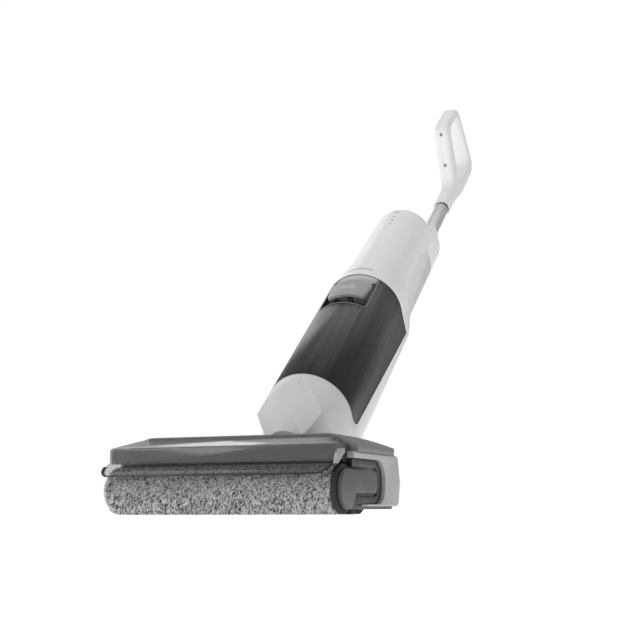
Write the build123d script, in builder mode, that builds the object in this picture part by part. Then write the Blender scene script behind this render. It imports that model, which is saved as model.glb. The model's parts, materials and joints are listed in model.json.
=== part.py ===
"""Cordless wet dry floor scrubber: a roller head on a tilting neck, and a tall body with its tanks.

Millimetres, +Z up, front of the machine towards -Y, left and right along X.
The machine stands in its working lean. The origin is on the floor, under the middle of its box.
"""
from build123d import *
from math import cos, radians, sin, sqrt
import os

# ---------------------------------------------------------------- driving dimensions
LEAN = 51.0                 # how far the body leans back from upright, degrees
ROLLER_Y = -460.0           # the roller's axis, measured from the origin
ROLLER_Z = 25.0
PILE_R = 25.0
CORE_R = 19.0
CORE_WALL = 2.4
HEAD_HALF = 135.0           # half the head's width over its side panels
BASE_HALF = 126.5
BASE_BOTTOM = 5.0
BASE_TOP = 62.5
BASE_REAR = 158.0           # behind the roller's axis
WALL = 3.0
BAY_R = 28.5                # the roller bay's inner radius
NECK_U = 140.0              # the neck's pivot, behind the roller's axis
NECK_Z = 62.0
NOTCH_HALF = 56.0
NOTCH_U = 112.0
WHEEL_R = 20.0
WHEEL_U = 130.0
WHEEL_X = 87.0
WHEEL_W = 20.0
PANEL_T = 8.0               # side panel thickness

TANK_HALF = 54.0            # body measures: x across, y rearwards, z along the lean from the pivot
ARC_Y = 6.0                 # centre of the body's round front
FRONT_Y = ARC_Y - TANK_HALF
REAR_Y = 78.0
REAR_CORNER = 40.0
CHIN_LOW = 22.0
TANK_LOW = 103.0            # the tank's lower and upper edges at the body's front
TANK_TOP = 346.0
TANK_SLOPE = 0.11           # both edges fall this much for each millimetre rearwards
SEAM_LOW_Y = 27.0           # where the tank meets the spine, at its lower and upper ends
SEAM_TOP_Y = 42.0
SPINE_TOP = 352.0
SHOULDER_TOP = 412.0
UPPER_HALF = 45.0           # upper housing's radius
UPPER_ARC_Y = 5.0
UPPER_TOP_HALF = 42.5       # and at its top, where it is narrower
UPPER_TOP_ARC_Y = 7.5
CLEAN_HALF = 40.0
CLEAN_CORNER = 34.0
CLEAN_SEAM_Y = 12.0
DOME_TOP = 582.0
CORE_HOUSING_R = 37.0       # round back of the upper housing that the clean tank wraps
CORE_HOUSING_Y = 3.0
CORE_HOUSING_TOP = 572.0
CLEAN_TOP = 545.0
SOCKET_TOP = 622.0
SHELL = 2.4
GAP = 0.3                   # clearance between pieces that move apart

TUBE_Y = 65.0
TUBE_R = 11.5
TUBE_LOW = 562.0
TUBE_TOP = 779.0
RING_T = 3.0
HANDLE_HALF = 12.5          # half the handle's width

# ---------------------------------------------------------------- shared planes
LEAN_SIN = sin(radians(LEAN))
LEAN_COS = cos(radians(LEAN))
PIVOT = (0, ROLLER_Y + NECK_U, NECK_Z)
HEAD_SIDE = Plane(origin=(0, ROLLER_Y, 0), x_dir=(0, 1, 0), z_dir=(1, 0, 0))
HEAD_TOP = Plane(origin=(0, ROLLER_Y, 0))
HEAD_FRONT = Plane(origin=(0, ROLLER_Y, 0), x_dir=(1, 0, 0), z_dir=(0, -1, 0))
BODY = Plane(origin=PIVOT, x_dir=(1, 0, 0), z_dir=(0, LEAN_SIN, LEAN_COS))
BODY_SIDE = Plane(origin=PIVOT, x_dir=BODY.y_dir, z_dir=(1, 0, 0))
BODY_FRONT = Plane(origin=PIVOT, x_dir=(1, 0, 0), z_dir=-BODY.y_dir)
BODY_AXIS = Axis(PIVOT, BODY.z_dir)


def shifted(plane, x=0.0, y=0.0, z=0.0):
    """The plane moved within its own directions."""
    return Plane(origin=plane.from_local_coords(Vector(x, y, z)), x_dir=plane.x_dir, z_dir=plane.z_dir)


def rod(plane, x, y, z, radius, length, mode=Mode.ADD):
    """Adds a round rod that stands on the plane at x, y and height z to the part being built."""
    with BuildSketch(shifted(plane, x, y, z)) as disc:
        Circle(radius)
    extrude(disc.sketch, amount=length, mode=mode)


def bore(plane, x, y, z, radius, length):
    """Takes the same rod away from the part being built."""
    rod(plane, x, y, z, radius, length, Mode.SUBTRACT)


def block(plane, low, high, mode=Mode.ADD, radius=0.0):
    """Adds a block between two corners in the plane's own directions, its upright edges rounded."""
    centre = [(a + b) / 2 for a, b in zip(low, high)]
    width, depth = high[0] - low[0], high[1] - low[1]
    with BuildSketch(shifted(plane, centre[0], centre[1], low[2])) as foot:
        if radius:
            RectangleRounded(width, depth, radius)
        else:
            Rectangle(width, depth)
    extrude(foot.sketch, amount=high[2] - low[2], mode=mode)


def outline(*points, mode=Mode.ADD):
    """Adds a straight-sided closed outline to the sketch being built."""
    with BuildLine(Plane.XY) as edge:
        Polyline(*points, close=True)
    make_face(edge.edges(), mode=mode)


# ---------------------------------------------------------------- cleaning head
BASE_PROFILE = ((24, BASE_BOTTOM), (150, BASE_BOTTOM), (BASE_REAR, 14), (BASE_REAR, BASE_TOP),
                (26, BASE_TOP))
FLOOR_T = 3.5
FRONT_WALL_U = 34.0
WELL_HALF = 13.5
WELL_LENGTH = 2 * WHEEL_R + 4
WELL_TOP = 43.0
DUCT_HALF = 20.0
DUCT_LOW = 14.0
DUCT_TOP = 36.0
BRACKET_HALF = 32.0
COVER_T = 2.6
CREST = 82.0                # height of the head's top cover
COVER_FRONT_U = 26.0
COVER_PROFILE = ((COVER_FRONT_U, BASE_TOP), (COVER_FRONT_U, CREST), (88, CREST - 1.5),
                 (116, CREST - 6), (BASE_REAR, 68), (BASE_REAR, BASE_TOP))
CROWN_DROP = 15.0           # how far the top falls towards its ends
CROWN_FLAT = 88.0


def head_outline(inset=0.0):
    """Plan of the head behind the roller with the neck's notch, drawn in the sketch being built."""
    half = BASE_HALF - inset
    notch = NOTCH_HALF + inset
    outline((-half, inset), (half, inset), (half, BASE_REAR - inset), (notch, BASE_REAR - inset),
            (notch, NOTCH_U - inset), (-notch, NOTCH_U - inset), (-notch, BASE_REAR - inset),
            (-half, BASE_REAR - inset))


def crown_outline(half, drop=CROWN_DROP, top=CREST + 1.5, low=BASE_TOP - 30):
    """Front view of the head: flat in the middle and falling in an arc towards both ends."""
    with BuildLine(Plane.XY) as edge:
        Polyline((-half, top - drop), (-half, low), (half, low), (half, top - drop))
        TangentArc((CROWN_FLAT, top), (half, top - drop), tangent=(1, 0))
        Line((CROWN_FLAT, top), (-CROWN_FLAT, top))
        TangentArc((-CROWN_FLAT, top), (-half, top - drop), tangent=(-1, 0))
    make_face(edge.edges())


def make_head_base():
    """Chassis: a floor and walls round the ducts and wheel wells, open above."""
    with BuildPart() as head_base:
        with BuildSketch(HEAD_TOP):
            head_outline()
        extrude(amount=BASE_TOP)
        with BuildSketch(HEAD_TOP.offset(BASE_BOTTOM + FLOOR_T)):
            head_outline(WALL)
            with Locations((0, FRONT_WALL_U / 2)):
                Rectangle(2 * HEAD_HALF, FRONT_WALL_U, mode=Mode.SUBTRACT)
        extrude(amount=BASE_TOP, mode=Mode.SUBTRACT)
        for side in (-1, 1):
            with BuildSketch(shifted(HEAD_TOP, side * WHEEL_X, WHEEL_U, BASE_BOTTOM)):
                Rectangle(2 * (WELL_HALF + WALL), WELL_LENGTH + 2 * WALL)
            extrude(amount=WELL_TOP + WALL - BASE_BOTTOM)
            with BuildSketch(shifted(HEAD_TOP, side * WHEEL_X, WHEEL_U)):
                Rectangle(2 * WELL_HALF, WELL_LENGTH)
            extrude(amount=WELL_TOP, mode=Mode.SUBTRACT)
            bore(HEAD_SIDE, WHEEL_U, WHEEL_R, side * WHEEL_X - 17, 3.05, 34)
        with BuildSketch(HEAD_SIDE):
            with BuildLine():
                Polyline(*BASE_PROFILE, close=True)
            make_face()
            with Locations((0, ROLLER_Z)):
                Circle(BAY_R, mode=Mode.SUBTRACT)
        extrude(amount=HEAD_HALF, both=True, mode=Mode.INTERSECT)
        with BuildSketch(shifted(HEAD_FRONT, 0, (DUCT_LOW + DUCT_TOP) / 2)):
            Rectangle(2 * DUCT_HALF, DUCT_TOP - DUCT_LOW)
        extrude(amount=-BASE_REAR, mode=Mode.SUBTRACT)
        bore(HEAD_SIDE, 0, ROLLER_Z, BASE_HALF - 6, PILE_R + 0.6, 10)
        block(HEAD_TOP, (-NOTCH_HALF - 1, NOTCH_U - 1, BASE_BOTTOM), (NOTCH_HALF + 1, BASE_REAR - 3, 8.5))
    head_base.part.label = "head_base"
    return head_base.part


def make_suction_duct():
    """Flat air and water duct from behind the roller to the neck."""
    with BuildPart() as suction_duct:
        with BuildSketch(shifted(HEAD_FRONT, 0, (DUCT_LOW + DUCT_TOP) / 2, -FRONT_WALL_U)):
            Rectangle(2 * DUCT_HALF + 3, DUCT_TOP - DUCT_LOW + 3)
            Rectangle(2 * DUCT_HALF, DUCT_TOP - DUCT_LOW, mode=Mode.SUBTRACT)
        extrude(amount=-(NOTCH_U - WALL - FRONT_WALL_U))
    suction_duct.part.label = "suction_duct"
    return suction_duct.part


def make_pivot_bracket():
    """Two ears on a foot that carry the neck's pivot pins."""
    ear_r = 13.0
    ear_t = 7.0
    with BuildPart() as pivot_bracket:
        for side in (-1, 1):
            with BuildSketch(HEAD_SIDE.offset(side * (BRACKET_HALF - ear_t / 2))):
                with Locations((NECK_U, NECK_Z)):
                    Circle(ear_r)
                with BuildLine():
                    Polyline((NECK_U - ear_r, NECK_Z), (NECK_U + ear_r, NECK_Z), (NECK_U + 17, 8.5),
                             (NECK_U - 27, 8.5), (NECK_U - 27, 16), close=True)
                make_face()
            extrude(amount=ear_t / 2, both=True)
            bore(HEAD_SIDE, NECK_U, NECK_Z, side * BRACKET_HALF - 9, 5.05, 18)
        with BuildSketch(shifted(HEAD_TOP, 0, NECK_U - 5, 8.5)):
            Rectangle(2 * BRACKET_HALF + 12, 44)
        extrude(amount=3.5)
    pivot_bracket.part.label = "pivot_bracket"
    return pivot_bracket.part


def make_pivot_pins():
    """Pair of steel pins on the pitch axis."""
    with BuildPart() as pivot_pins:
        for side in (-1, 1):
            start = side * (BRACKET_HALF - 4)
            rod(HEAD_SIDE, NECK_U, NECK_Z, start - 9, 5.0, 18)
    pivot_pins.part.label = "pivot_pins"
    return pivot_pins.part


def make_head_top_cover():
    """Crowned top cover with the notch for the neck."""
    with BuildPart() as head_top_cover:
        with BuildSketch(HEAD_SIDE):
            with BuildLine():
                Polyline(*COVER_PROFILE, close=True)
            make_face()
        extrude(amount=HEAD_HALF, both=True)
        with BuildSketch(HEAD_TOP) as plan:
            with Locations((0, BASE_REAR / 2)):
                Rectangle(2 * HEAD_HALF, BASE_REAR)
            fillet(plan.vertices().sort_by(Axis.Y)[-2:], 26)
            with Locations((0, NOTCH_U + 40)):
                Rectangle(2 * NOTCH_HALF, 80, mode=Mode.SUBTRACT)
        extrude(amount=CREST + 10, mode=Mode.INTERSECT)
        with BuildSketch(HEAD_FRONT):
            crown_outline(HEAD_HALF)
        extrude(amount=-2 * BASE_REAR, mode=Mode.INTERSECT)
        with BuildSketch(HEAD_TOP.offset(BASE_TOP)):
            head_outline(WALL)
            with Locations((0, (COVER_FRONT_U + COVER_T) / 2)):
                Rectangle(2 * HEAD_HALF, COVER_FRONT_U + COVER_T, mode=Mode.SUBTRACT)
        extrude(amount=3.0, mode=Mode.SUBTRACT)
    head_top_cover.part.label = "head_top_cover"
    return head_top_cover.part


# ---------------------------------------------------------------- roller cover (visor)
LIP_R = 31.0
LIP_IN = 28.6
LIP_LOW = 31.0              # angle of the lip's lower edge above the horizontal
LIP_HIGH = 74.0
LIP_LEFT = 133.0
LIP_END_R = 7.5
LIP_RIGHT_R = 15.0
TRIM_W = 1.8
TRIM_TOP = 50.2
VISOR_FACE = (-16.5, 69.0)  # top front edge of the visor in side view
VISOR_REAR = (25.7, 80.8)
VISOR_HALF = 129.0
VISOR_RIGHT = 126.5
VISOR_T = 2.2
RIDGE_R = 3.0
VISOR_CORNER = 6.0


def on_arc(radius, degrees):
    """A point round the roller's axis, seen from the side; 0 degrees faces forward."""
    return (-radius * cos(radians(degrees)), ROLLER_Z + radius * sin(radians(degrees)))


def visor_body(inset):
    """Side view of the visor above its lip."""
    low = on_arc(LIP_R, LIP_HIGH - 10)
    ridge = (VISOR_FACE[0] + inset, VISOR_FACE[1] - inset * 0.8)
    with BuildSketch(Plane.XY) as side:
        outline((low[0] + inset * 0.8, low[1] - 6), (VISOR_FACE[0] - 1 + inset, low[1] + 2), ridge,
                (VISOR_REAR[0] + inset, VISOR_REAR[1] - inset), (VISOR_REAR[0] + inset, BASE_TOP - 8),
                (8, 50))
        fillet(side.vertices().sort_by_distance((ridge[0], ridge[1], 0))[0], RIDGE_R)
    add(side.sketch)


def lip_outline(grow=0.0):
    """Front view of the visor's lip with round ends, drawn in the sketch being built."""
    left = -LIP_LEFT - grow
    right = VISOR_RIGHT - 2.3 + grow
    low = on_arc(LIP_R, LIP_LOW)[1] - grow
    high = BASE_TOP + grow
    with BuildSketch(Plane.XY) as front:
        outline((left, low), (right, low), (right, high), (left, high))
        fillet(front.vertices().sort_by_distance((left, low, 0))[0], LIP_END_R + grow)
        fillet(front.vertices().sort_by_distance((left, high, 0))[0], LIP_END_R + grow)
        fillet(front.vertices().sort_by_distance((right, low, 0))[0], LIP_RIGHT_R + grow)
    add(front.sketch)


def lip_band(outer, low, grow):
    """The lip's curved strip, from an angle up to LIP_HIGH, cut to the front outline."""
    with BuildPart() as band:
        with BuildSketch(HEAD_SIDE.offset(-HEAD_HALF)):
            with BuildLine():
                RadiusArc(on_arc(outer, low), on_arc(outer, LIP_HIGH), outer)
                Line(on_arc(outer, LIP_HIGH), on_arc(LIP_IN, LIP_HIGH))
                RadiusArc(on_arc(LIP_IN, LIP_HIGH), on_arc(LIP_IN, low), -LIP_IN)
                Line(on_arc(LIP_IN, low), on_arc(outer, low))
            make_face()
        extrude(amount=HEAD_HALF + VISOR_RIGHT)
        with BuildSketch(HEAD_FRONT):
            lip_outline(grow)
        extrude(amount=60, both=True, mode=Mode.INTERSECT)
    return band.part


def visor_hood():
    """The raised hood above the lip, hollow and open below."""
    with BuildPart() as hood:
        with BuildSketch(HEAD_SIDE):
            visor_body(0)
        extrude(amount=VISOR_HALF, both=True)
        with BuildSketch(HEAD_TOP) as plan:
            with Locations(((VISOR_RIGHT - VISOR_HALF) / 2, VISOR_REAR[0] / 2 - 10)):
                Rectangle(VISOR_HALF + VISOR_RIGHT, VISOR_REAR[0] + 20)
            fillet(plan.vertices().group_by(Axis.Y)[0], VISOR_CORNER)
        extrude(amount=CREST + 10, mode=Mode.INTERSECT)
        with BuildSketch(HEAD_FRONT):
            crown_outline(VISOR_HALF, drop=CROWN_DROP + 0.5, top=CREST + 1)
        extrude(amount=60, both=True, mode=Mode.INTERSECT)
        with BuildSketch(HEAD_SIDE.offset(-VISOR_HALF + VISOR_T)):
            visor_body(VISOR_T)
        extrude(amount=VISOR_HALF + VISOR_RIGHT - 2 * VISOR_T, mode=Mode.SUBTRACT)
    return hood.part


def make_roller_cover():
    """Clear smoked visor: a curved lip close to the roller and a raised hood above it."""
    hood = visor_hood()
    lip = lip_band(LIP_R, LIP_LOW, 0)
    with BuildPart() as roller_cover:
        add(hood)
        add(lip)
        bore(HEAD_SIDE, 0, ROLLER_Z, -HEAD_HALF, LIP_IN, 2 * HEAD_HALF)
    roller_cover.part.label = "roller_cover"
    return roller_cover.part


def make_cover_trim():
    """Soft black edge that runs round the visor's lip."""
    band = lip_band(LIP_R + 0.4, LIP_LOW - 4, TRIM_W)
    hood = visor_hood()
    with BuildPart() as cover_trim:
        add(band)
        add(hood, mode=Mode.SUBTRACT)
        with BuildSketch(HEAD_FRONT):
            lip_outline(0.05)
        extrude(amount=60, both=True, mode=Mode.SUBTRACT)
        with BuildSketch(HEAD_FRONT):
            with Locations((0, TRIM_TOP + 20)):
                Rectangle(4 * HEAD_HALF, 40)
        extrude(amount=60, both=True, mode=Mode.SUBTRACT)
    cover_trim.part.label = "cover_trim"
    return cover_trim.part


def make_cover_clip():
    """Clip bracket at the visor's right end."""
    with BuildPart() as cover_clip:
        with BuildSketch(HEAD_SIDE.offset(VISOR_RIGHT)):
            outline((-20.5, 49), (-9, 57.5), (-3, 60), (-3, 65), (-13, 64), (-18.5, 58))
            with Locations((0, ROLLER_Z)):
                Circle(LIP_IN, mode=Mode.SUBTRACT)
        extrude(amount=6)
    cover_clip.part.label = "cover_clip"
    return cover_clip.part


def make_scraper_blade():
    """Blade under the visor that presses dirty water out of the pile."""
    with BuildPart() as scraper_blade:
        with BuildSketch(HEAD_SIDE):
            outline((9, 52.4), (13, 51), (25.4, 56.5), (25.4, 62), (21, 60))
        extrude(amount=118, both=True)
    scraper_blade.part.label = "scraper_blade"
    return scraper_blade.part


def make_spray_bar():
    """Water pipe with a row of nozzles that wets the roller."""
    with BuildPart() as spray_bar:
        rod(HEAD_SIDE, 13, 64, -112, 3.2, 224)
        with BuildSketch(shifted(HEAD_TOP, 0, 13, 57)):
            with GridLocations(32, 1, 7, 1):
                Circle(1.4)
        extrude(amount=5)
    spray_bar.part.label = "spray_bar"
    return spray_bar.part


def make_floor_lip():
    """Rubber lip behind the roller that wipes the floor."""
    with BuildPart() as floor_lip:
        block(HEAD_TOP, (-120, 31, 0.3), (120, 33.5, BASE_BOTTOM))
    floor_lip.part.label = "floor_lip"
    return floor_lip.part


def make_corner_feet():
    """Small wedge feet under the head's front corners."""
    with BuildPart() as corner_feet:
        for side in (-1, 1):
            with BuildSketch(HEAD_SIDE.offset(side * 126.5 - 5)):
                outline((24, 0.2), (36, 0.2), (52, BASE_BOTTOM), (26.5, BASE_BOTTOM))
            extrude(amount=10)
        with BuildSketch(HEAD_TOP):
            Rectangle(2 * BASE_HALF, 400)
        extrude(amount=10, mode=Mode.INTERSECT)
    corner_feet.part.label = "corner_feet"
    return corner_feet.part


# ---------------------------------------------------------------- side panels and roller cartridge
PANEL_BOTTOM = 8.0
WINDOW_LOW = 10.0
WINDOW_TOP = 56.0
WINDOW_END = 108.0
LEFT_T = 3.7
CAP_R = 20.4
RING_R = 24.6
TAB_END = 82.0
TAB_LOW = 21.0
TAB_TOP = 44.5
PILE_LEFT = -131.0
PILE_RIGHT = 124.0
STUB_R = 4.0
BEARING_R = 8.0


def make_right_side_panel():
    """Right side panel, a C shape round the roller's end cap."""
    with BuildPart() as right_side_panel:
        with BuildSketch(HEAD_SIDE.offset(BASE_HALF + GAP)) as side:
            outline((16, BASE_TOP), (150, BASE_TOP), (157, 34), (151, PANEL_BOTTOM), (56, PANEL_BOTTOM),
                    (16, 50))
            fillet(side.vertices().sort_by(Axis.X)[-3:], 6)
            with Locations((WINDOW_END - 80, (WINDOW_LOW + WINDOW_TOP) / 2)):
                RectangleRounded(160, WINDOW_TOP - WINDOW_LOW, 20, mode=Mode.SUBTRACT)
        extrude(amount=PANEL_T)
        outer_face = right_side_panel.faces().sort_by(Axis.X)[-1]
        rear_edges = outer_face.outer_wire().edges().sort_by(Axis.Y)[-3:]
        chamfer(rear_edges, 1.5)
    right_side_panel.part.label = "right_side_panel"
    return right_side_panel.part


def make_recess_plate():
    """Dark plate behind the end cap, with a finger pocket behind the lever."""
    with BuildPart() as recess_plate:
        with BuildSketch(HEAD_SIDE.offset(BASE_HALF + GAP)):
            with Locations((WINDOW_END - 80 - GAP, (WINDOW_LOW + WINDOW_TOP) / 2)):
                RectangleRounded(160 - 2 * GAP, WINDOW_TOP - WINDOW_LOW - 2 * GAP, 20 - GAP)
            with Locations((-60, ROLLER_Z)):
                Rectangle(160, 100, mode=Mode.SUBTRACT)
            with Locations((0, ROLLER_Z)):
                Circle(PILE_R + 0.8, mode=Mode.SUBTRACT)
        extrude(amount=4)
        block(shifted(HEAD_SIDE, 0, 0, BASE_HALF), (10, TAB_LOW - 3, 2.4), (TAB_END + 12, TAB_TOP + 3, 10),
              Mode.SUBTRACT, 8)
    recess_plate.part.label = "recess_plate"
    return recess_plate.part


def make_left_side_panel():
    """Thin left side plate with a round nose that holds the roller's motor."""
    with BuildPart() as left_side_panel:
        with BuildSketch(HEAD_SIDE.offset(-HEAD_HALF)):
            with Locations((0, ROLLER_Z)):
                Circle(17.5)
            outline((0, ROLLER_Z - 17.5), (30, PANEL_BOTTOM), (151, PANEL_BOTTOM), (157, 34),
                    (150, BASE_TOP), (30, BASE_TOP), (0, ROLLER_Z + 17.5))
        extrude(amount=LEFT_T)
        with BuildSketch(HEAD_SIDE.offset(-HEAD_HALF)):
            outline((31, PANEL_BOTTOM), (151, PANEL_BOTTOM), (157, 34), (150, BASE_TOP), (31, BASE_TOP))
        extrude(amount=HEAD_HALF - BASE_HALF - GAP)
        fillet(left_side_panel.edges().filter_by(Axis.X).sort_by(Axis.Y)[-3:], 6)
    left_side_panel.part.label = "left_side_panel"
    return left_side_panel.part


def make_roller_core():
    """Rigid roller tube with a hex drive ring inside and a plug with a stub shaft at its right end."""
    with BuildPart() as roller_core:
        rod(HEAD_SIDE, 0, ROLLER_Z, PILE_LEFT + 0.6, CORE_R, PILE_RIGHT - PILE_LEFT - 1)
        bore(HEAD_SIDE, 0, ROLLER_Z, PILE_LEFT, CORE_R - CORE_WALL, PILE_RIGHT - PILE_LEFT - 9)
        rod(HEAD_SIDE, 0, ROLLER_Z, -26, CORE_R - CORE_WALL + 0.2, 14)
        with BuildSketch(shifted(HEAD_SIDE, 0, ROLLER_Z, -27)):
            RegularPolygon(12.4, 6)
        extrude(amount=16, mode=Mode.SUBTRACT)
        rod(HEAD_SIDE, 0, ROLLER_Z, PILE_RIGHT - 4, STUB_R, 13)
    roller_core.part.label = "roller_core"
    return roller_core.part


def make_roller_pile():
    """Soft pile sleeve over the core."""
    with BuildPart() as roller_pile:
        rod(HEAD_SIDE, 0, ROLLER_Z, PILE_LEFT, PILE_R, PILE_RIGHT - PILE_LEFT)
        bore(HEAD_SIDE, 0, ROLLER_Z, PILE_LEFT, CORE_R, PILE_RIGHT - PILE_LEFT)
        circles = roller_pile.edges().filter_by(GeomType.CIRCLE)
        fillet(circles.filter_by(lambda e: e.radius > CORE_R + 1), 2.5)
    roller_pile.part.label = "roller_pile"
    return roller_pile.part


def make_end_seal():
    """Black ring disc between the roller and its end cap; it holds the bearing."""
    with BuildPart() as end_seal:
        rod(HEAD_SIDE, 0, ROLLER_Z, PILE_RIGHT + 0.5, RING_R, 6)
        bore(HEAD_SIDE, 0, ROLLER_Z, PILE_RIGHT, BEARING_R, 10)
        circles = end_seal.edges().filter_by(GeomType.CIRCLE)
        fillet(circles.filter_by(lambda e: e.radius > BEARING_R + 1), 1.6)
    end_seal.part.label = "end_seal"
    return end_seal.part


def make_roller_bearing():
    """Bush that the roller's stub shaft turns in."""
    with BuildPart() as roller_bearing:
        rod(HEAD_SIDE, 0, ROLLER_Z, PILE_RIGHT + 1, BEARING_R, 5)
        bore(HEAD_SIDE, 0, ROLLER_Z, PILE_RIGHT, STUB_R + 0.05, 10)
    roller_bearing.part.label = "roller_bearing"
    return roller_bearing.part


def make_end_cap():
    """End cap with the pull tab that draws the roller out sideways."""
    with BuildPart() as end_cap:
        with BuildSketch(HEAD_SIDE.offset(PILE_RIGHT + 6.5)) as face:
            with Locations((0, ROLLER_Z)):
                Circle(CAP_R)
            with Locations((TAB_END / 2, (TAB_LOW + TAB_TOP) / 2)):
                Rectangle(TAB_END, TAB_TOP - TAB_LOW)
            fillet(face.vertices().sort_by(Axis.X)[-2:], 6)
        extrude(amount=HEAD_HALF - PILE_RIGHT - 6.5)
        bore(HEAD_SIDE, 0, ROLLER_Z, PILE_RIGHT, STUB_R + 1, 9.5)
        chamfer(end_cap.faces().sort_by(Axis.X)[-1].outer_wire().edges(), 0.6)
    end_cap.part.label = "end_cap"
    return end_cap.part


# ---------------------------------------------------------------- roller drive inside the core
CAN_R = 14.6
CAN_WALL = 1.4
CAN_END = -36.0
ROTOR_R = 8.0
OUTPUT_R = 4.0


def make_roller_motor_can():
    """Motor tube that stands off the left side plate inside the roller."""
    with BuildPart() as roller_motor_can:
        rod(HEAD_SIDE, 0, ROLLER_Z, LEFT_T - HEAD_HALF, CAN_R, CAN_END + HEAD_HALF - LEFT_T)
        bore(HEAD_SIDE, 0, ROLLER_Z, LEFT_T - HEAD_HALF + 3, CAN_R - CAN_WALL, HEAD_HALF)
    roller_motor_can.part.label = "roller_motor_can"
    return roller_motor_can.part


def make_roller_motor_rotor():
    """Rotor with its shaft."""
    with BuildPart() as roller_motor_rotor:
        rod(HEAD_SIDE, 0, ROLLER_Z, -120, ROTOR_R, 40)
        rod(HEAD_SIDE, 0, ROLLER_Z, -126, 2.0, 56)
    roller_motor_rotor.part.label = "roller_motor_rotor"
    return roller_motor_rotor.part


def make_roller_gearbox():
    """Gearbox block at the end of the motor tube, with the output shaft's bore."""
    with BuildPart() as roller_gearbox:
        rod(HEAD_SIDE, 0, ROLLER_Z, -66, CAN_R - CAN_WALL, 29)
        bore(HEAD_SIDE, 0, ROLLER_Z, -62, OUTPUT_R + 0.05, 40)
    roller_gearbox.part.label = "roller_gearbox"
    return roller_gearbox.part


def make_drive_hub():
    """Output shaft with the hex hub that turns the roller."""
    with BuildPart() as drive_hub:
        rod(HEAD_SIDE, 0, ROLLER_Z, -60, OUTPUT_R, 36)
        with BuildSketch(shifted(HEAD_SIDE, 0, ROLLER_Z, -34)):
            RegularPolygon(12.0, 6)
        extrude(amount=22)
    drive_hub.part.label = "drive_hub"
    return drive_hub.part


# ---------------------------------------------------------------- rear wheels
def make_wheel(side):
    """One rear wheel with its rubber tread in a separate piece."""
    name = "left" if side < 0 else "right"
    start = side * WHEEL_X - WHEEL_W / 2
    with BuildPart() as wheel:
        rod(HEAD_SIDE, WHEEL_U, WHEEL_R, start, WHEEL_R - 3, WHEEL_W)
        bore(HEAD_SIDE, WHEEL_U, WHEEL_R, start, 3.05, WHEEL_W)
        for face in (start, start + WHEEL_W - 2):
            with BuildSketch(shifted(HEAD_SIDE, WHEEL_U, WHEEL_R, face)):
                with PolarLocations(10.5, 6):
                    Circle(3)
            extrude(amount=2, mode=Mode.SUBTRACT)
    wheel.part.label = f"{name}_wheel"
    return wheel.part


def make_tread(side):
    """Rubber tread of one rear wheel."""
    name = "left" if side < 0 else "right"
    start = side * WHEEL_X - WHEEL_W / 2
    with BuildPart() as tread:
        rod(HEAD_SIDE, WHEEL_U, WHEEL_R, start, WHEEL_R, WHEEL_W)
        bore(HEAD_SIDE, WHEEL_U, WHEEL_R, start, WHEEL_R - 3, WHEEL_W)
        fillet(tread.edges().filter_by(GeomType.CIRCLE).filter_by(lambda e: e.radius > WHEEL_R - 1), 1.5)
    tread.part.label = f"{name}_wheel_tread"
    return tread.part


def make_wheel_axles():
    """Pair of axle pins across the wheel wells."""
    with BuildPart() as wheel_axles:
        for side in (-1, 1):
            rod(HEAD_SIDE, WHEEL_U, WHEEL_R, side * WHEEL_X - 16.5, 3.0, 33)
    wheel_axles.part.label = "wheel_axles"
    return wheel_axles.part


# ---------------------------------------------------------------- neck
STEM_R = 15.0
STEM_TOP = 50.0
BARREL_R = 12.0
HOSE_R = 9.0


def make_neck_yoke():
    """Hollow neck: a barrel on the pitch axis and a stem that swivels in the body."""
    with BuildPart() as neck_yoke:
        rod(HEAD_SIDE, NECK_U, NECK_Z, 0.4 + 7 - BRACKET_HALF, BARREL_R, 2 * (BRACKET_HALF - 7.4))
        rod(BODY, 0, 0, 0, STEM_R, STEM_TOP)
        rod(BODY, 0, 0, STEM_TOP, STEM_R + 3, 3)
        rod(BODY, 0, 0, 12.2, STEM_R + 5, 5)
        bore(BODY, 0, 0, -20, HOSE_R + 0.5, 100)
        bore(HEAD_SIDE, NECK_U, NECK_Z, -BRACKET_HALF, 5.05, 2 * BRACKET_HALF)
    neck_yoke.part.label = "neck_yoke"
    return neck_yoke.part


def make_neck_hose():
    """Corrugated hose inside the neck."""
    with BuildPart() as neck_hose:
        with BuildSketch(BODY_SIDE):
            Rectangle(HOSE_R - 1.2, 62, align=(Align.MIN, Align.MIN))
            for rib in range(10):
                with Locations((HOSE_R - 1.2, 3 + 6 * rib)):
                    Circle(1.2)
            with Locations((0, -5)):
                Rectangle(HOSE_R - 2.6, 80, align=(Align.MIN, Align.MIN), mode=Mode.SUBTRACT)
        revolve(axis=BODY_AXIS)
    neck_hose.part.label = "neck_hose"
    return neck_hose.part


def make_swivel_bush():
    """Bush in the body that the neck's stem turns in."""
    with BuildPart() as swivel_bush:
        rod(BODY, 0, 0, CHIN_LOW + 0.6, STEM_R + 4, STEM_TOP - CHIN_LOW - 1)
        bore(BODY, 0, 0, CHIN_LOW, STEM_R + 0.06, STEM_TOP)
    swivel_bush.part.label = "swivel_bush"
    return swivel_bush.part


# ---------------------------------------------------------------- body shells
CREASE_Z = 86.0             # where the chin's face turns under
FACE_FOOT_Y = -16.0
CHIN_FOOT = 12.0            # half the width of the body's foot
CHIN_FULL_Z = 102.0         # above this height the body has its full width
BOSS_R = 25.0
DISPLAY_R = 15.0
DISPLAY_Y = -6.0
TIP_R = 12.0


def tank_edge(y, start):
    """Height of the tank's lower or upper edge at a depth y."""
    return start - TANK_SLOPE * (y - FRONT_Y)


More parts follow.
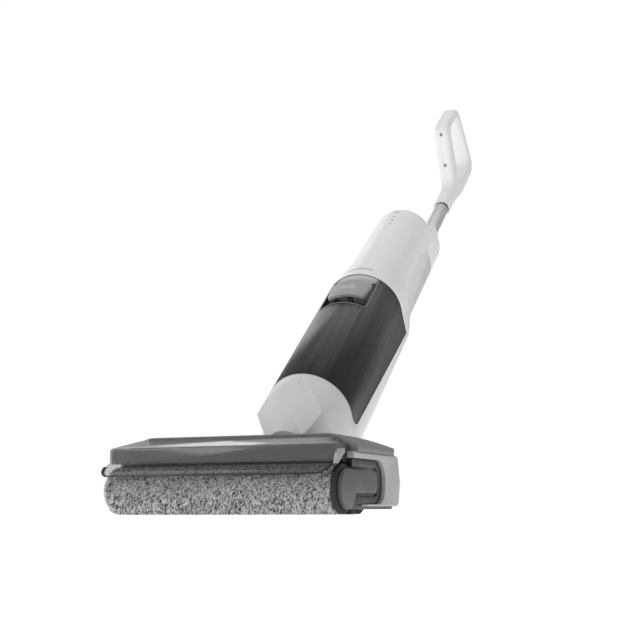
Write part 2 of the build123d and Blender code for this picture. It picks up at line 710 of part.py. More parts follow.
def tank_side(grow=0.0):
    """Side view of the space that the dirty water tank takes, drawn in the sketch being built."""
    far = FRONT_Y - 20
    low_rear = (SEAM_LOW_Y + grow, tank_edge(SEAM_LOW_Y, TANK_LOW) - grow)
    top_rear = (SEAM_TOP_Y + grow, tank_edge(SEAM_TOP_Y, TANK_TOP) + grow)
    with BuildSketch(Plane.XY) as side:
        outline((far, tank_edge(far, TANK_LOW) - grow), low_rear, top_rear,
                (far, tank_edge(far, TANK_TOP) + grow))
        fillet(side.vertices().sort_by_distance((low_rear[0], low_rear[1], 0))[0], TIP_R + grow)
    add(side.sketch)


def d_section(half, arc_y, rear):
    """Body section with a round front and a flat back, drawn in the sketch being built."""
    with BuildLine(Plane.XY) as edge:
        ThreePointArc((-half, arc_y), (0, arc_y - half), (half, arc_y))
        Polyline((half, arc_y), (half, rear), (-half, rear), (-half, arc_y))
    make_face(edge.edges())


def rear_section(half, front, rear, corner):
    """Body section with a flat front and rounded rear corners, drawn in the sketch being built."""
    with BuildSketch(Plane.XY) as section:
        outline((-half, front), (half, front), (half, rear), (-half, rear))
        fillet(section.vertices().sort_by(Axis.Y)[-2:], corner)
    add(section.sketch)


def body_front_solid(inset=0.0, top=DOME_TOP):
    """Adds the body's front volume: a D-shaped column that narrows at the shoulder."""
    for low, high, half_low, half_high, arc_low, arc_high in (
            (CHIN_LOW, SPINE_TOP, TANK_HALF, TANK_HALF, ARC_Y, ARC_Y),
            (SPINE_TOP, SHOULDER_TOP, TANK_HALF, UPPER_HALF, ARC_Y, UPPER_ARC_Y),
            (SHOULDER_TOP, top, UPPER_HALF, UPPER_TOP_HALF, UPPER_ARC_Y, UPPER_TOP_ARC_Y)):
        with BuildSketch(BODY.offset(low)) as bottom:
            d_section(half_low - inset, arc_low, SEAM_TOP_Y + 20)
        if half_low == half_high:
            extrude(bottom.sketch, amount=high - low)
        else:
            with BuildSketch(BODY.offset(high)) as upper:
                d_section(half_high - inset, arc_high, SEAM_TOP_Y + 20)
            loft([bottom.sketch, upper.sketch])


def keep_side(*points, radius=0.0, corner=0):
    """Keeps only what lies inside a side-view outline; one corner can be rounded."""
    with BuildSketch(BODY_SIDE) as side:
        outline(*points)
        if radius:
            place = BODY_SIDE.from_local_coords(Vector(*points[corner]))
            fillet(side.vertices().sort_by_distance(place)[0], radius)
    extrude(side.sketch, amount=TANK_HALF + 10, both=True, mode=Mode.INTERSECT)


def cut_tank_space(grow):
    """Takes the tank's space out of the part being built."""
    with BuildSketch(BODY_SIDE) as side:
        tank_side(grow)
    extrude(side.sketch, amount=TANK_HALF + 10, both=True, mode=Mode.SUBTRACT)


def narrow_foot(inset):
    """Keeps what lies inside the front view of the body's foot, which curves in towards the neck."""
    foot = CHIN_FOOT - inset
    half = TANK_HALF + 1 - inset
    low = CHIN_LOW - 8 + inset
    with BuildSketch(BODY_FRONT) as front:
        with BuildLine(Plane.XY) as edge:
            Polyline((half, CHIN_FULL_Z), (half, SPINE_TOP + 1), (-half, SPINE_TOP + 1),
                     (-half, CHIN_FULL_Z))
            TangentArc((-half, CHIN_FULL_Z), (-foot, low), tangent=(0, -1))
            Line((-foot, low), (foot, low))
            TangentArc((half, CHIN_FULL_Z), (foot, low), tangent=(0, -1))
        make_face(edge.edges())
    extrude(front.sketch, amount=120, both=True, mode=Mode.INTERSECT)


def chin_solid(inset):
    """The chin's volume, shrunk by inset and with the tank's space taken out."""
    half = TANK_HALF - inset
    with BuildPart() as chin:
        with BuildSketch(BODY.offset(CHIN_LOW)) as section:
            d_section(half, ARC_Y, SEAM_LOW_Y)
        extrude(section.sketch, amount=TANK_LOW + 12 - CHIN_LOW)
        keep_side((FRONT_Y - 1, CREASE_Z), (FACE_FOOT_Y + inset, CHIN_LOW + inset),
                  (SEAM_LOW_Y, CHIN_LOW + inset), (SEAM_LOW_Y, TANK_LOW + 12), (FRONT_Y - 1, TANK_LOW + 12))
        narrow_foot(inset)
        cut_tank_space(GAP + inset)
    return chin.part


def make_chin_housing():
    """Front lower housing under the tank, with an inclined face and the socket for the neck."""
    shell = chin_solid(0)
    hollow = chin_solid(SHELL)
    with BuildPart() as chin_housing:
        add(shell)
        add(hollow, mode=Mode.SUBTRACT)
        rod(BODY, 0, 0, CHIN_LOW - 3, BOSS_R, STEM_TOP - CHIN_LOW + 2)
        keep_side((FRONT_Y - 1, CHIN_LOW - 4), (SEAM_LOW_Y, CHIN_LOW - 4), (SEAM_LOW_Y, 120),
                  (FRONT_Y - 1, 120))
        bore(BODY, 0, 0, CHIN_LOW - 4, STEM_R + 4, 60)
    chin_housing.part.label = "chin_housing"
    return chin_housing.part


def spine_hollow():
    """The space inside the spine."""
    with BuildPart() as hollow:
        with BuildSketch(BODY.offset(CHIN_LOW)):
            rear_section(TANK_HALF - SHELL, 0, REAR_Y - SHELL, REAR_CORNER - SHELL)
        extrude(amount=SPINE_TOP - CHIN_LOW)
        keep_side((SEAM_LOW_Y - 5, CHIN_LOW + 11), (56, CHIN_LOW + 11), (REAR_Y - SHELL, 60),
                  (REAR_Y - SHELL, SPINE_TOP - 3), (SEAM_LOW_Y - 5, SPINE_TOP - 3))
        narrow_foot(SHELL)
    return hollow.part


def make_spine_housing():
    """Rear housing behind the tank and chin, open towards the front."""
    hollow = spine_hollow()
    with BuildPart() as spine_housing:
        with BuildSketch(BODY.offset(CHIN_LOW)):
            rear_section(TANK_HALF, 0, REAR_Y, REAR_CORNER)
        extrude(amount=SPINE_TOP - CHIN_LOW)
        keep_side((SEAM_LOW_Y + GAP, CHIN_LOW + 8), (58, CHIN_LOW + 8), (REAR_Y, 58), (REAR_Y, SPINE_TOP),
                  (SEAM_TOP_Y + GAP, SPINE_TOP), (SEAM_TOP_Y + GAP, 340), (SEAM_LOW_Y + GAP, 96))
        narrow_foot(0)
        add(hollow, mode=Mode.SUBTRACT)
    spine_housing.part.label = "spine_housing"
    return spine_housing.part


def upper_hollow():
    """The space inside the upper housing, with the round part that holds the cells."""
    with BuildPart() as hollow:
        body_front_solid(SHELL, DOME_TOP - SHELL)
        keep_side((FRONT_Y - 1, 350), (SEAM_TOP_Y - SHELL, 350), (CLEAN_SEAM_Y - SHELL, SHOULDER_TOP - 8),
                  (CLEAN_SEAM_Y - SHELL, DOME_TOP), (FRONT_Y - 1, DOME_TOP))
        fillet(hollow.faces().sort_by(BODY_AXIS)[-1].edges().filter_by(GeomType.CIRCLE), 14)
        rod(BODY, 0, CORE_HOUSING_Y, SHOULDER_TOP - 8 + SHELL, CORE_HOUSING_R - SHELL,
            CORE_HOUSING_TOP - SHOULDER_TOP + 8 - 2 * SHELL)
    return hollow.part


def make_upper_housing():
    """Front upper housing with the shoulder and a rounded top; it holds the fan and the battery."""
    hollow = upper_hollow()
    front_top = tank_edge(FRONT_Y - 1, TANK_TOP) + GAP
    rear_top = tank_edge(SEAM_TOP_Y, TANK_TOP) + GAP
    with BuildPart() as upper_housing:
        body_front_solid()
        keep_side((FRONT_Y - 1, front_top), (SEAM_TOP_Y, rear_top), (SEAM_TOP_Y, SPINE_TOP),
                  (CLEAN_SEAM_Y, SHOULDER_TOP - 8), (CLEAN_SEAM_Y, DOME_TOP), (FRONT_Y - 1, DOME_TOP))
        fillet(upper_housing.faces().sort_by(BODY_AXIS)[-1].edges().filter_by(GeomType.CIRCLE), 16)
        rod(BODY, 0, CORE_HOUSING_Y, SHOULDER_TOP - 8, CORE_HOUSING_R, CORE_HOUSING_TOP - SHOULDER_TOP + 8)
        add(hollow, mode=Mode.SUBTRACT)
        bore(BODY, 0, DISPLAY_Y, DOME_TOP - 20, DISPLAY_R + 0.2, 30)
    upper_housing.part.label = "upper_housing"
    return upper_housing.part


def make_display_lens():
    """Round dark display window in the dome's top."""
    with BuildPart() as display_lens:
        rod(BODY, 0, DISPLAY_Y, DOME_TOP - 3, DISPLAY_R, 3)
        fillet(display_lens.edges().sort_by(BODY_AXIS)[-1], 1)
    display_lens.part.label = "display_lens"
    return display_lens.part


def rear_volume(inset, low, top):
    """Adds the rear volume above the spine, from the shoulder up."""
    with BuildSketch(BODY.offset(low)) as bottom:
        rear_section(TANK_HALF - inset, 0, REAR_Y - inset, REAR_CORNER - inset)
    with BuildSketch(BODY.offset(SHOULDER_TOP)) as middle:
        rear_section(CLEAN_HALF - inset, 0, REAR_Y - inset, CLEAN_CORNER - inset)
    loft([bottom.sketch, middle.sketch])
    extrude(middle.sketch, amount=top - SHOULDER_TOP)


def clean_hollow():
    """The space inside the clean water tank."""
    with BuildPart() as hollow:
        rear_volume(SHELL, SPINE_TOP + GAP + SHELL, CLEAN_TOP - SHELL)
        keep_side((SEAM_TOP_Y + SHELL + 2, SPINE_TOP), (REAR_Y + 1, SPINE_TOP), (REAR_Y + 1, CLEAN_TOP),
                  (CLEAN_SEAM_Y + SHELL + 1, CLEAN_TOP), (CLEAN_SEAM_Y + SHELL + 1, SHOULDER_TOP - 6))
    return hollow.part


def keep_clean_side():
    """Keeps only what lies behind the clean water tank's seam."""
    low = SPINE_TOP + GAP
    keep_side((SEAM_TOP_Y + GAP, low), (REAR_Y + 1, low), (REAR_Y + 1, CLEAN_TOP),
              (CLEAN_SEAM_Y + GAP, CLEAN_TOP), (CLEAN_SEAM_Y + GAP, SHOULDER_TOP - 8))


def make_clean_water_tank():
    """Clean water tank behind the upper housing."""
    hollow = clean_hollow()
    with BuildPart() as clean_water_tank:
        rear_volume(0, SPINE_TOP + GAP, CLEAN_TOP)
        keep_clean_side()
        add(hollow, mode=Mode.SUBTRACT)
        rod(BODY, 0, CORE_HOUSING_Y, SPINE_TOP, CORE_HOUSING_R + GAP + SHELL, CLEAN_TOP - SPINE_TOP)
        keep_clean_side()
        bore(BODY, 0, CORE_HOUSING_Y, SHOULDER_TOP - 8 - GAP, CORE_HOUSING_R + GAP, 300)
        bore(BODY_FRONT, 0, 500, -REAR_Y - 2, 13, 12)
    clean_water_tank.part.label = "clean_water_tank"
    return clean_water_tank.part


def make_clean_tank_cap():
    """Screw cap of the clean water tank's filler."""
    with BuildPart() as clean_tank_cap:
        rod(BODY_FRONT, 0, 500, -REAR_Y - 1.5, 12.7, 5.5)
        block(shifted(BODY_FRONT, 0, 500, 0), (-10, -2.5, -REAR_Y - 4.5), (10, 2.5, -REAR_Y - 1.4),
              radius=2.4)
    clean_tank_cap.part.label = "clean_tank_cap"
    return clean_tank_cap.part


def tube_hollow():
    """The space inside the tube housing, round the boss that grips the tube."""
    low = CORE_HOUSING_TOP + 4
    with BuildPart() as hollow:
        with BuildSketch(BODY.offset(low)) as section:
            rear_section(CLEAN_HALF - SHELL, CLEAN_SEAM_Y + GAP + SHELL, REAR_Y - SHELL,
                         CLEAN_CORNER - SHELL)
        extrude(section.sketch, amount=SOCKET_TOP - SHELL - low)
        fillet(hollow.faces().sort_by(BODY_AXIS)[-1].edges(), 17)
        bore(BODY, 0, TUBE_Y, TUBE_LOW, TUBE_R + SHELL, 200)
    return hollow.part


def make_tube_housing():
    """Rear top housing that holds the handle tube above the clean water tank."""
    hollow = tube_hollow()
    with BuildPart() as tube_housing:
        with BuildSketch(BODY.offset(CLEAN_TOP + GAP)):
            rear_section(CLEAN_HALF, CLEAN_SEAM_Y + GAP, REAR_Y, CLEAN_CORNER)
        extrude(amount=SOCKET_TOP - CLEAN_TOP - GAP)
        fillet(tube_housing.faces().sort_by(BODY_AXIS)[-1].edges(), 19)
        bore(BODY, 0, CORE_HOUSING_Y, CLEAN_TOP, CORE_HOUSING_R + GAP, CORE_HOUSING_TOP + GAP - CLEAN_TOP)
        add(hollow, mode=Mode.SUBTRACT)
        bore(BODY, 0, TUBE_Y, TUBE_LOW, TUBE_R, 200)
    tube_housing.part.label = "tube_housing"
    return tube_housing.part


def make_handle_tube():
    """Straight tube between the body and the handle."""
    with BuildPart() as handle_tube:
        rod(BODY, 0, TUBE_Y, TUBE_LOW, TUBE_R, TUBE_TOP - TUBE_LOW)
        bore(BODY, 0, TUBE_Y, TUBE_LOW, TUBE_R - 1.5, 300)
    handle_tube.part.label = "handle_tube"
    return handle_tube.part


def make_tube_ring():
    """Dark ring between the tube and the handle."""
    with BuildPart() as tube_ring:
        rod(BODY, 0, TUBE_Y, TUBE_TOP, TUBE_R + 0.4, RING_T)
        bore(BODY, 0, TUBE_Y, TUBE_TOP, TUBE_R - 2, RING_T)
    tube_ring.part.label = "tube_ring"
    return tube_ring.part


# ---------------------------------------------------------------- dirty water tank
SPRING_LENGTH = 10.0
LATCH_HALF = 27.0
LATCH_LOW = 290.0
LATCH_TOP = 328.0
LATCH_PROUD = 2.2            # how far the latch stands out of the tank's wall
POCKET_HALF = 31.0
POCKET_LOW = 272.0
POCKET_DEPTH = 15.0
LID_T = 4.0
FLOAT_LOW = 112.0


def tank_volume(inset):
    """Adds the tank's volume shrunk by inset."""
    with BuildSketch(BODY.offset(CHIN_LOW)) as section:
        d_section(TANK_HALF - inset, ARC_Y, SEAM_TOP_Y + 10)
    extrude(section.sketch, amount=SPINE_TOP - CHIN_LOW)
    with BuildSketch(BODY_SIDE) as side:
        tank_side(-inset)
    extrude(side.sketch, amount=TANK_HALF + 10, both=True, mode=Mode.INTERSECT)


def pocket(grow):
    """Takes the latch's pocket out of the part being built."""
    block(BODY, (-POCKET_HALF - grow, FRONT_Y - 5, POCKET_LOW - grow),
          (POCKET_HALF + grow, FRONT_Y + POCKET_DEPTH + grow, TANK_TOP + 10), Mode.SUBTRACT)


def tank_hollow():
    """The space inside the dirty water tank, behind the latch's pocket."""
    with BuildPart() as hollow:
        tank_volume(SHELL)
        pocket(SHELL)
        with BuildSketch(BODY_SIDE):
            outline((FRONT_Y, 60), (SEAM_TOP_Y - SHELL, 60), (SEAM_TOP_Y - SHELL, 400), (FRONT_Y, 400))
        extrude(amount=80, both=True, mode=Mode.INTERSECT)
    return hollow.part


def make_dirty_tank():
    """Smoked clear tank shell, open above, with a pocket for its latch."""
    hollow = tank_hollow()
    with BuildPart() as dirty_tank:
        tank_volume(0)
        pocket(0)
        add(hollow, mode=Mode.SUBTRACT)
        block(BODY, (-44, -28, 325), (44, 33, 360), Mode.SUBTRACT, 12)
    dirty_tank.part.label = "dirty_tank"
    return dirty_tank.part


def make_tank_lid():
    """Lid plug in the tank's mouth."""
    with BuildPart() as tank_lid:
        block(BODY, (-43.7, -27.7, 330), (43.7, 32.7, 330 + LID_T), radius=12)
        bore(BODY, 0, 3, 329, 24.5, 10)
    tank_lid.part.label = "tank_lid"
    return tank_lid.part


def make_filter_cartridge():
    """Pleated filter that drops through the lid."""
    with BuildPart() as filter_cartridge:
        rod(BODY, 0, 3, 292, 22, 38)
        rod(BODY, 0, 3, 330, 24.4, 4)
        bore(BODY, 0, 3, 295, 15, 60)
    filter_cartridge.part.label = "filter_cartridge"
    return filter_cartridge.part


def make_inlet_pipe():
    """Riser pipe that lets dirty water and air into the tank."""
    with BuildPart() as inlet_pipe:
        rod(BODY, 0, 10, 101, 10, 160)
        bore(BODY, 0, 10, 100, 8, 170)
        block(BODY, (-18, -6, 260), (18, 24, 262.5), radius=6)
        bore(BODY, 0, 10, 240, 8, 30)
    inlet_pipe.part.label = "inlet_pipe"
    return inlet_pipe.part


def make_tank_baffle():
    """Bent splash plate inside the tank."""
    with BuildPart() as tank_baffle:
        with BuildSketch(BODY_FRONT):
            outline((20, 236), (30, 226), (33, 226), (33, 300), (35, 300), (35, 224), (29, 223), (19, 234),
                    (-12, 234), (-12, 236))
        extrude(amount=16, both=True)
        block(BODY, (-14, -1, 200), (11, 40, 300), Mode.SUBTRACT)
    tank_baffle.part.label = "tank_baffle"
    return tank_baffle.part


def make_tank_float():
    """Ring float round the riser pipe that shuts the tank when it is full."""
    with BuildPart() as tank_float:
        rod(BODY, 0, 10, FLOAT_LOW, 14.2, 16)
        bore(BODY, 0, 10, FLOAT_LOW - 1, 10.4, 20)
        fillet(tank_float.edges().filter_by(GeomType.CIRCLE).filter_by(lambda e: e.radius > 11), 1.5)
    tank_float.part.label = "tank_float"
    return tank_float.part


def make_tank_latch():
    """Curved latch button in the tank's front."""
    with BuildPart() as tank_latch:
        with BuildSketch(BODY.offset(LATCH_LOW)):
            with Locations((0, ARC_Y)):
                Circle(TANK_HALF + LATCH_PROUD)
                Circle(TANK_HALF - 2.5, mode=Mode.SUBTRACT)
        extrude(amount=LATCH_TOP - LATCH_LOW)
        with BuildSketch(BODY_FRONT) as face:
            outline((-LATCH_HALF - 2, LATCH_TOP), (LATCH_HALF + 2, LATCH_TOP), (LATCH_HALF - 2, LATCH_LOW),
                    (-LATCH_HALF + 2, LATCH_LOW))
            fillet(face.vertices(), 6)
        extrude(amount=60, mode=Mode.INTERSECT)
        edge_ring = tank_latch.faces().sort_by(Axis(PIVOT, BODY.y_dir))[0].edges()
        fillet(edge_ring, 1)
    tank_latch.part.label = "tank_latch"
    return tank_latch.part


def make_latch_spring():
    """Coil space of the latch's return spring."""
    with BuildPart() as latch_spring:
        rod(BODY_FRONT, 0, 306, -FRONT_Y - POCKET_DEPTH, 4, SPRING_LENGTH)
        bore(BODY_FRONT, 0, 306, -FRONT_Y - POCKET_DEPTH, 2.8, 20)
    latch_spring.part.label = "latch_spring"
    return latch_spring.part


# ---------------------------------------------------------------- what the housings hold
FAN_Z = 412.0


def make_suction_motor():
    """Motor that drives the suction fan."""
    with BuildPart() as suction_motor:
        rod(BODY, 0, CORE_HOUSING_Y, FAN_Z + 34, 30, 46)
        bore(BODY, 0, CORE_HOUSING_Y, FAN_Z + 34, 4.05, 30)
    suction_motor.part.label = "suction_motor"
    return suction_motor.part


def make_fan_shroud():
    """Round housing of the fan."""
    with BuildPart() as fan_shroud:
        rod(BODY, 0, CORE_HOUSING_Y, FAN_Z + 2, 34, 31.9)
        bore(BODY, 0, CORE_HOUSING_Y, FAN_Z + 4, 32, 30)
        bore(BODY, 0, CORE_HOUSING_Y, FAN_Z, 12, 60)
    fan_shroud.part.label = "fan_shroud"
    return fan_shroud.part


def make_impeller():
    """Fan wheel with its shaft."""
    blades = 9
    with BuildPart() as impeller:
        rod(BODY, 0, CORE_HOUSING_Y, FAN_Z + 8, 29, 2.5)
        rod(BODY, 0, CORE_HOUSING_Y, FAN_Z + 8, 7, 18)
        rod(BODY, 0, CORE_HOUSING_Y, FAN_Z + 8, 4.0, 50)
        with BuildSketch(BODY.offset(FAN_Z + 10)):
            with Locations((0, CORE_HOUSING_Y)):
                with PolarLocations(0, blades):
                    with Locations((17, 3)):
                        Rectangle(23, 1.6, rotation=20)
        extrude(amount=12)
    impeller.part.label = "impeller"
    return impeller.part


def make_battery_pack():
    """Ring of round cells above the motor."""
    with BuildPart() as battery_pack:
        with BuildSketch(BODY.offset(FAN_Z + 84)):
            with Locations((0, CORE_HOUSING_Y)):
                with PolarLocations(23, 7):
                    Circle(9)
        extrude(amount=65)
    battery_pack.part.label = "battery_pack"
    return battery_pack.part


def make_control_board():
    """Circuit board in the spine."""
    with BuildPart() as control_board:
        block(BODY, (-34, 60, 200), (34, 62, 320))
        for height in (212, 240, 268, 296):
            block(BODY, (-22, 56, height), (-6, 60.1, height + 14))
            block(BODY, (8, 57, height), (26, 60.1, height + 9))
    control_board.part.label = "control_board"
    return control_board.part


def make_water_pump():
    """Small pump that feeds the spray bar."""
    with BuildPart() as water_pump:
        block(BODY, (-16, 50, 90), (16, 74, 128), radius=4)
        rod(BODY, 0, 62, 127, 9, 26)
    water_pump.part.label = "water_pump"
    return water_pump.part


def make_charging_contacts():
    """Pair of charging contacts low on the spine's back."""
    with BuildPart() as charging_contacts:
        for side in (-1, 1):
            block(BODY_FRONT, (side * 14 - 4, 70, -REAR_Y - 0.8), (side * 14 + 4, 84, -REAR_Y), radius=2)
    charging_contacts.part.label = "charging_contacts"
    return charging_contacts.part


# ---------------------------------------------------------------- handle
HANDLE_LOW = TUBE_TOP + RING_T
BUTTON_R = 5.5
BUTTON_TRAVEL = 1.2
BUTTON_T = 3.5
BUTTONS = {"power_button": -4.0, "mode_button": 20.0}
HANDLE_ROUND = 6.5
SCREW_SEAT = 4.0
GRIP_T = 19.0
GRIP_SLOPE = 0.2            # the grip's top rises this much for each millimetre rearwards
SCREWS = ((-31.7, 872.3), (19.3, 858.6))
SCREW_R = 3.0


def grip_top(y):
    """Height of the grip's top face, where the buttons sit."""
    return 973.5 + GRIP_SLOPE * (y - 10)


def corner_near(sketch, y, z):
    """The corner of a sketch that lies nearest to a point in its own plane."""
    return sketch.vertices().sort_by_distance((y, z, 0))[0]


def rounded_outline(corners, mode=Mode.ADD):
    """Adds a closed outline with its own radius at each corner to the sketch being built."""
    with BuildSketch(Plane.XY) as shape:
        outline(*[(y, z) for y, z, radius in corners])
        for y, z, radius in corners:
            if radius:
                fillet(corner_near(shape, y, z), radius)
    add(shape.sketch, mode=mode)


def above_neck(edge):
    """True for the loop's edges that aren't the end against the tube ring."""
    return BODY.to_local_coords(edge.center()).Z > HANDLE_LOW + 1


def handle_front_plane(y, z):
    """Plane of a screw's seat in the forward arm, its normal pointing out of the arm's front."""
    slope = (SCREWS[1][1] - SCREWS[0][1]) / (SCREWS[1][0] - SCREWS[0][0])
    outward = BODY.z_dir * -1 + BODY.y_dir * slope
    seat = BODY.from_local_coords(Vector(0, y, z)) - outward.normalized() * SCREW_SEAT
    return Plane(origin=seat, x_dir=(1, 0, 0), z_dir=outward)


def button_plane(y):
    """Plane on the grip's top at a depth y, its normal pointing out of the grip."""
    outward = BODY.z_dir - BODY.y_dir * GRIP_SLOPE
    return Plane(origin=BODY.from_local_coords(Vector(0, y, grip_top(y))), x_dir=(1, 0, 0), z_dir=outward)


def make_handle_screws():
    """Screws sunk in the forward arm's front."""
    with BuildPart() as handle_screws:
        for y, z in SCREWS:
            rod(handle_front_plane(y, z), 0, 0, -1, SCREW_R - 0.1, 2)
            block(handle_front_plane(y, z), (-2, -0.4, 0.4), (2, 0.4, 1.5), Mode.SUBTRACT)
            block(handle_front_plane(y, z), (-0.4, -2, 0.4), (0.4, 2, 1.5), Mode.SUBTRACT)
    handle_screws.part.label = "handle_screws"
    return handle_screws.part


def make_button(name):
    """One button of the handle's row."""
    with BuildPart() as button:
        rod(button_plane(BUTTONS[name]), 0, 0, -BUTTON_T + 0.1, BUTTON_R, BUTTON_T + 0.8)
        fillet(button.faces().sort_by(BODY_AXIS)[-1].edges(), 0.6)
    button.part.label = name
    return button.part


def make_handle_loop():
    """Closed loop handle: a forward arm, a top grip and a rear arm."""
    front = TUBE_Y - TUBE_R
    back = TUBE_Y + TUBE_R
    outer = ((back, HANDLE_LOW, 0), (front, HANDLE_LOW, 0), (front, 844, 18), (-46, 872, 22),
             (-46, grip_top(-46), 22), (85.5, grip_top(85.5), 24), (85.5, 880, 90), (back, 825, 90))
    inner = ((-31, 890, 12), (-31, grip_top(-31) - GRIP_T, 14), (66, grip_top(66) - GRIP_T, 18),
             (66, 880, 14))
    with BuildPart() as handle_loop:
        with BuildSketch(BODY_SIDE):
            rounded_outline(outer)
            rounded_outline(inner, Mode.SUBTRACT)
        extrude(amount=HANDLE_HALF, both=True)
        sides = handle_loop.faces().sort_by(Axis.X)
        rounded = ShapeList()
        for face in (sides[0], sides[-1]):
            rounded += face.inner_wires()[0].edges()
            rounded += face.outer_wire().edges().filter_by(above_neck)
        fillet(rounded, HANDLE_ROUND)
        for y, z in SCREWS:
            rod(handle_front_plane(y, z), 0, 0, -1, SCREW_R, 12, Mode.SUBTRACT)
        for y in BUTTONS.values():
            rod(button_plane(y), 0, 0, -BUTTON_T - BUTTON_TRAVEL, BUTTON_R + GAP, 20, Mode.SUBTRACT)
    handle_loop.part.label = "handle_loop"
    return handle_loop.part


PIECES = [
    make_head_base,
    make_suction_duct,
    make_pivot_bracket,
    make_pivot_pins,
    make_head_top_cover,
    make_roller_cover,
    make_cover_trim,
    make_cover_clip,
    make_scraper_blade,
    make_spray_bar,
    make_floor_lip,
    make_corner_feet,
    make_right_side_panel,
    make_recess_plate,
    make_left_side_panel,
    make_roller_core,
    make_roller_pile,
    make_end_seal,
    make_roller_bearing,
    make_end_cap,
    make_roller_motor_can,
    make_roller_motor_rotor,
    make_roller_gearbox,
    make_drive_hub,
    make_wheel_axles,
    make_neck_yoke,
    make_neck_hose,
    make_swivel_bush,
    make_chin_housing,
    make_spine_housing,
    make_upper_housing,
    make_display_lens,
    make_clean_water_tank,
    make_clean_tank_cap,
    make_tube_housing,
    make_handle_tube,
    make_tube_ring,
    make_dirty_tank,
    make_tank_lid,
    make_filter_cartridge,
    make_inlet_pipe,
    make_tank_baffle,
    make_tank_float,
    make_tank_latch,
    make_latch_spring,
    make_suction_motor,
    make_fan_shroud,
    make_impeller,
    make_battery_pack,
    make_control_board,
    make_water_pump,
    make_charging_contacts,
    make_handle_loop,
    make_handle_screws,
]
SIDED = [make_wheel, make_tread]

os.makedirs("parts", exist_ok=True)
pieces = [make() for make in PIECES]
pieces += [make(side) for make in SIDED for side in (-1, 1)]
pieces += [make_button(name) for name in BUTTONS]
for piece in pieces:
    export_step(piece, f"parts/{piece.label}.step")
    print(piece.label, len(piece.solids()), round(piece.volume))
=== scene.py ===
"""Looks of the wet dry floor scrubber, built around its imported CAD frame.

Metres, +Z up, front of the machine towards -Y. Places come from the frame's nodes and joints.
"""

import json
import math

import bmesh
import bpy
import numpy as np
from mathutils import Matrix, Vector


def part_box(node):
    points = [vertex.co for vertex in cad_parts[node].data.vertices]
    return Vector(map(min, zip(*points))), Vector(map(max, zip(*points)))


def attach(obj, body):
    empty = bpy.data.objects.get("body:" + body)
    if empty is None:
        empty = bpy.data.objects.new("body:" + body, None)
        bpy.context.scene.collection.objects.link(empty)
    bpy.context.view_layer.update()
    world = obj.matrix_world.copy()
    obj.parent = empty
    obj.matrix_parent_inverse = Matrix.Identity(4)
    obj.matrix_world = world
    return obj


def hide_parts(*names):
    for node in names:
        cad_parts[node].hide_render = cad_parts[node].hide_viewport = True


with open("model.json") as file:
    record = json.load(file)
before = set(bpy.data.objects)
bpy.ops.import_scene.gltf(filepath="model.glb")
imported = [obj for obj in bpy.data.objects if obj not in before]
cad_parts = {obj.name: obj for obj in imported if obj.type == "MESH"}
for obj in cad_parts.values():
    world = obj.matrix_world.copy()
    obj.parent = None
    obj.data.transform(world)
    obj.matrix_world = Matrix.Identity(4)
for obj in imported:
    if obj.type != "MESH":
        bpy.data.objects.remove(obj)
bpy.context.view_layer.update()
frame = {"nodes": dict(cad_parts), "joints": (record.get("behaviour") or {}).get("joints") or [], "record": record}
MM = 0.001
JOINTS = {joint["name"]: joint for joint in frame["joints"]}
PIVOT = Vector(JOINTS["neck_swivel"]["pos_m"])
ALONG = Vector(JOINTS["neck_swivel"]["axis"])          # up the leaning body
REARWARD = Vector(JOINTS["clean_tank_pull"]["axis"])   # out of the leaning body's back
ROLLER_AXIS = Vector(JOINTS["roller_spin"]["pos_m"])


def on_body(x, y, z):
    """A point of the leaning body, in millimetres across, rearwards and along from the pivot."""
    return PIVOT + (Vector((x, 0, 0)) + REARWARD * y + ALONG * z) * MM


# ---------------------------------------------------------------- materials
WHITE = (1.0, 1.0, 1.0)


def node(tree, kind, **values):
    """A new shader node with its input sockets or settings filled in."""
    made = tree.nodes.new(kind)
    for key, value in values.items():
        if key in made.inputs:
            made.inputs[key].default_value = value
        else:
            setattr(made, key, value)
    return made


def shader(name):
    """A new material with its tree, its principled shader and the coordinates for its textures."""
    material = bpy.data.materials.new(name)
    material.use_nodes = True
    tree = material.node_tree
    surface = tree.nodes["Principled BSDF"]
    place = tree.nodes.new("ShaderNodeTexCoord").outputs["Object"]
    return material, tree, surface, place


def stretched(tree, place, scale):
    """The coordinates scaled by different amounts along each axis."""
    mapping = node(tree, "ShaderNodeMapping", Scale=scale)
    tree.links.new(place, mapping.inputs["Vector"])
    return mapping.outputs["Vector"]


def noise(tree, place, scale, detail=3.0):
    """Cloudy noise between 0 and 1, with so many clouds to the metre."""
    made = node(tree, "ShaderNodeTexNoise", Scale=scale, Detail=detail)
    tree.links.new(place, made.inputs["Vector"])
    return made.outputs["Fac"]


def spread(tree, value, low, high, start=0.3, end=0.7):
    """Maps a noise value from start..end to low..high."""
    made = node(tree, "ShaderNodeMapRange")
    limits = {"From Min": start, "From Max": end, "To Min": low, "To Max": high}
    for socket, number in limits.items():
        made.inputs[socket].default_value = number
    tree.links.new(value, made.inputs["Value"])
    return made.outputs["Result"]


def grey(tree, value, tint=WHITE):
    """A colour of one brightness with a slight tint."""
    made = tree.nodes.new("ShaderNodeCombineColor")
    for socket, share in zip(("Red", "Green", "Blue"), tint):
        scaled = node(tree, "ShaderNodeMath", operation="MULTIPLY")
        scaled.inputs[1].default_value = share
        tree.links.new(value, scaled.inputs[0])
        tree.links.new(scaled.outputs[0], made.inputs[socket])
    return made.outputs["Color"]


def bump(tree, surface, height, distance, strength):
    """Relief of a surface, as high as the distance in metres."""
    made = node(tree, "ShaderNodeBump", Strength=strength, Distance=distance)
    tree.links.new(height, made.inputs["Height"])
    tree.links.new(made.outputs["Normal"], surface.inputs["Normal"])


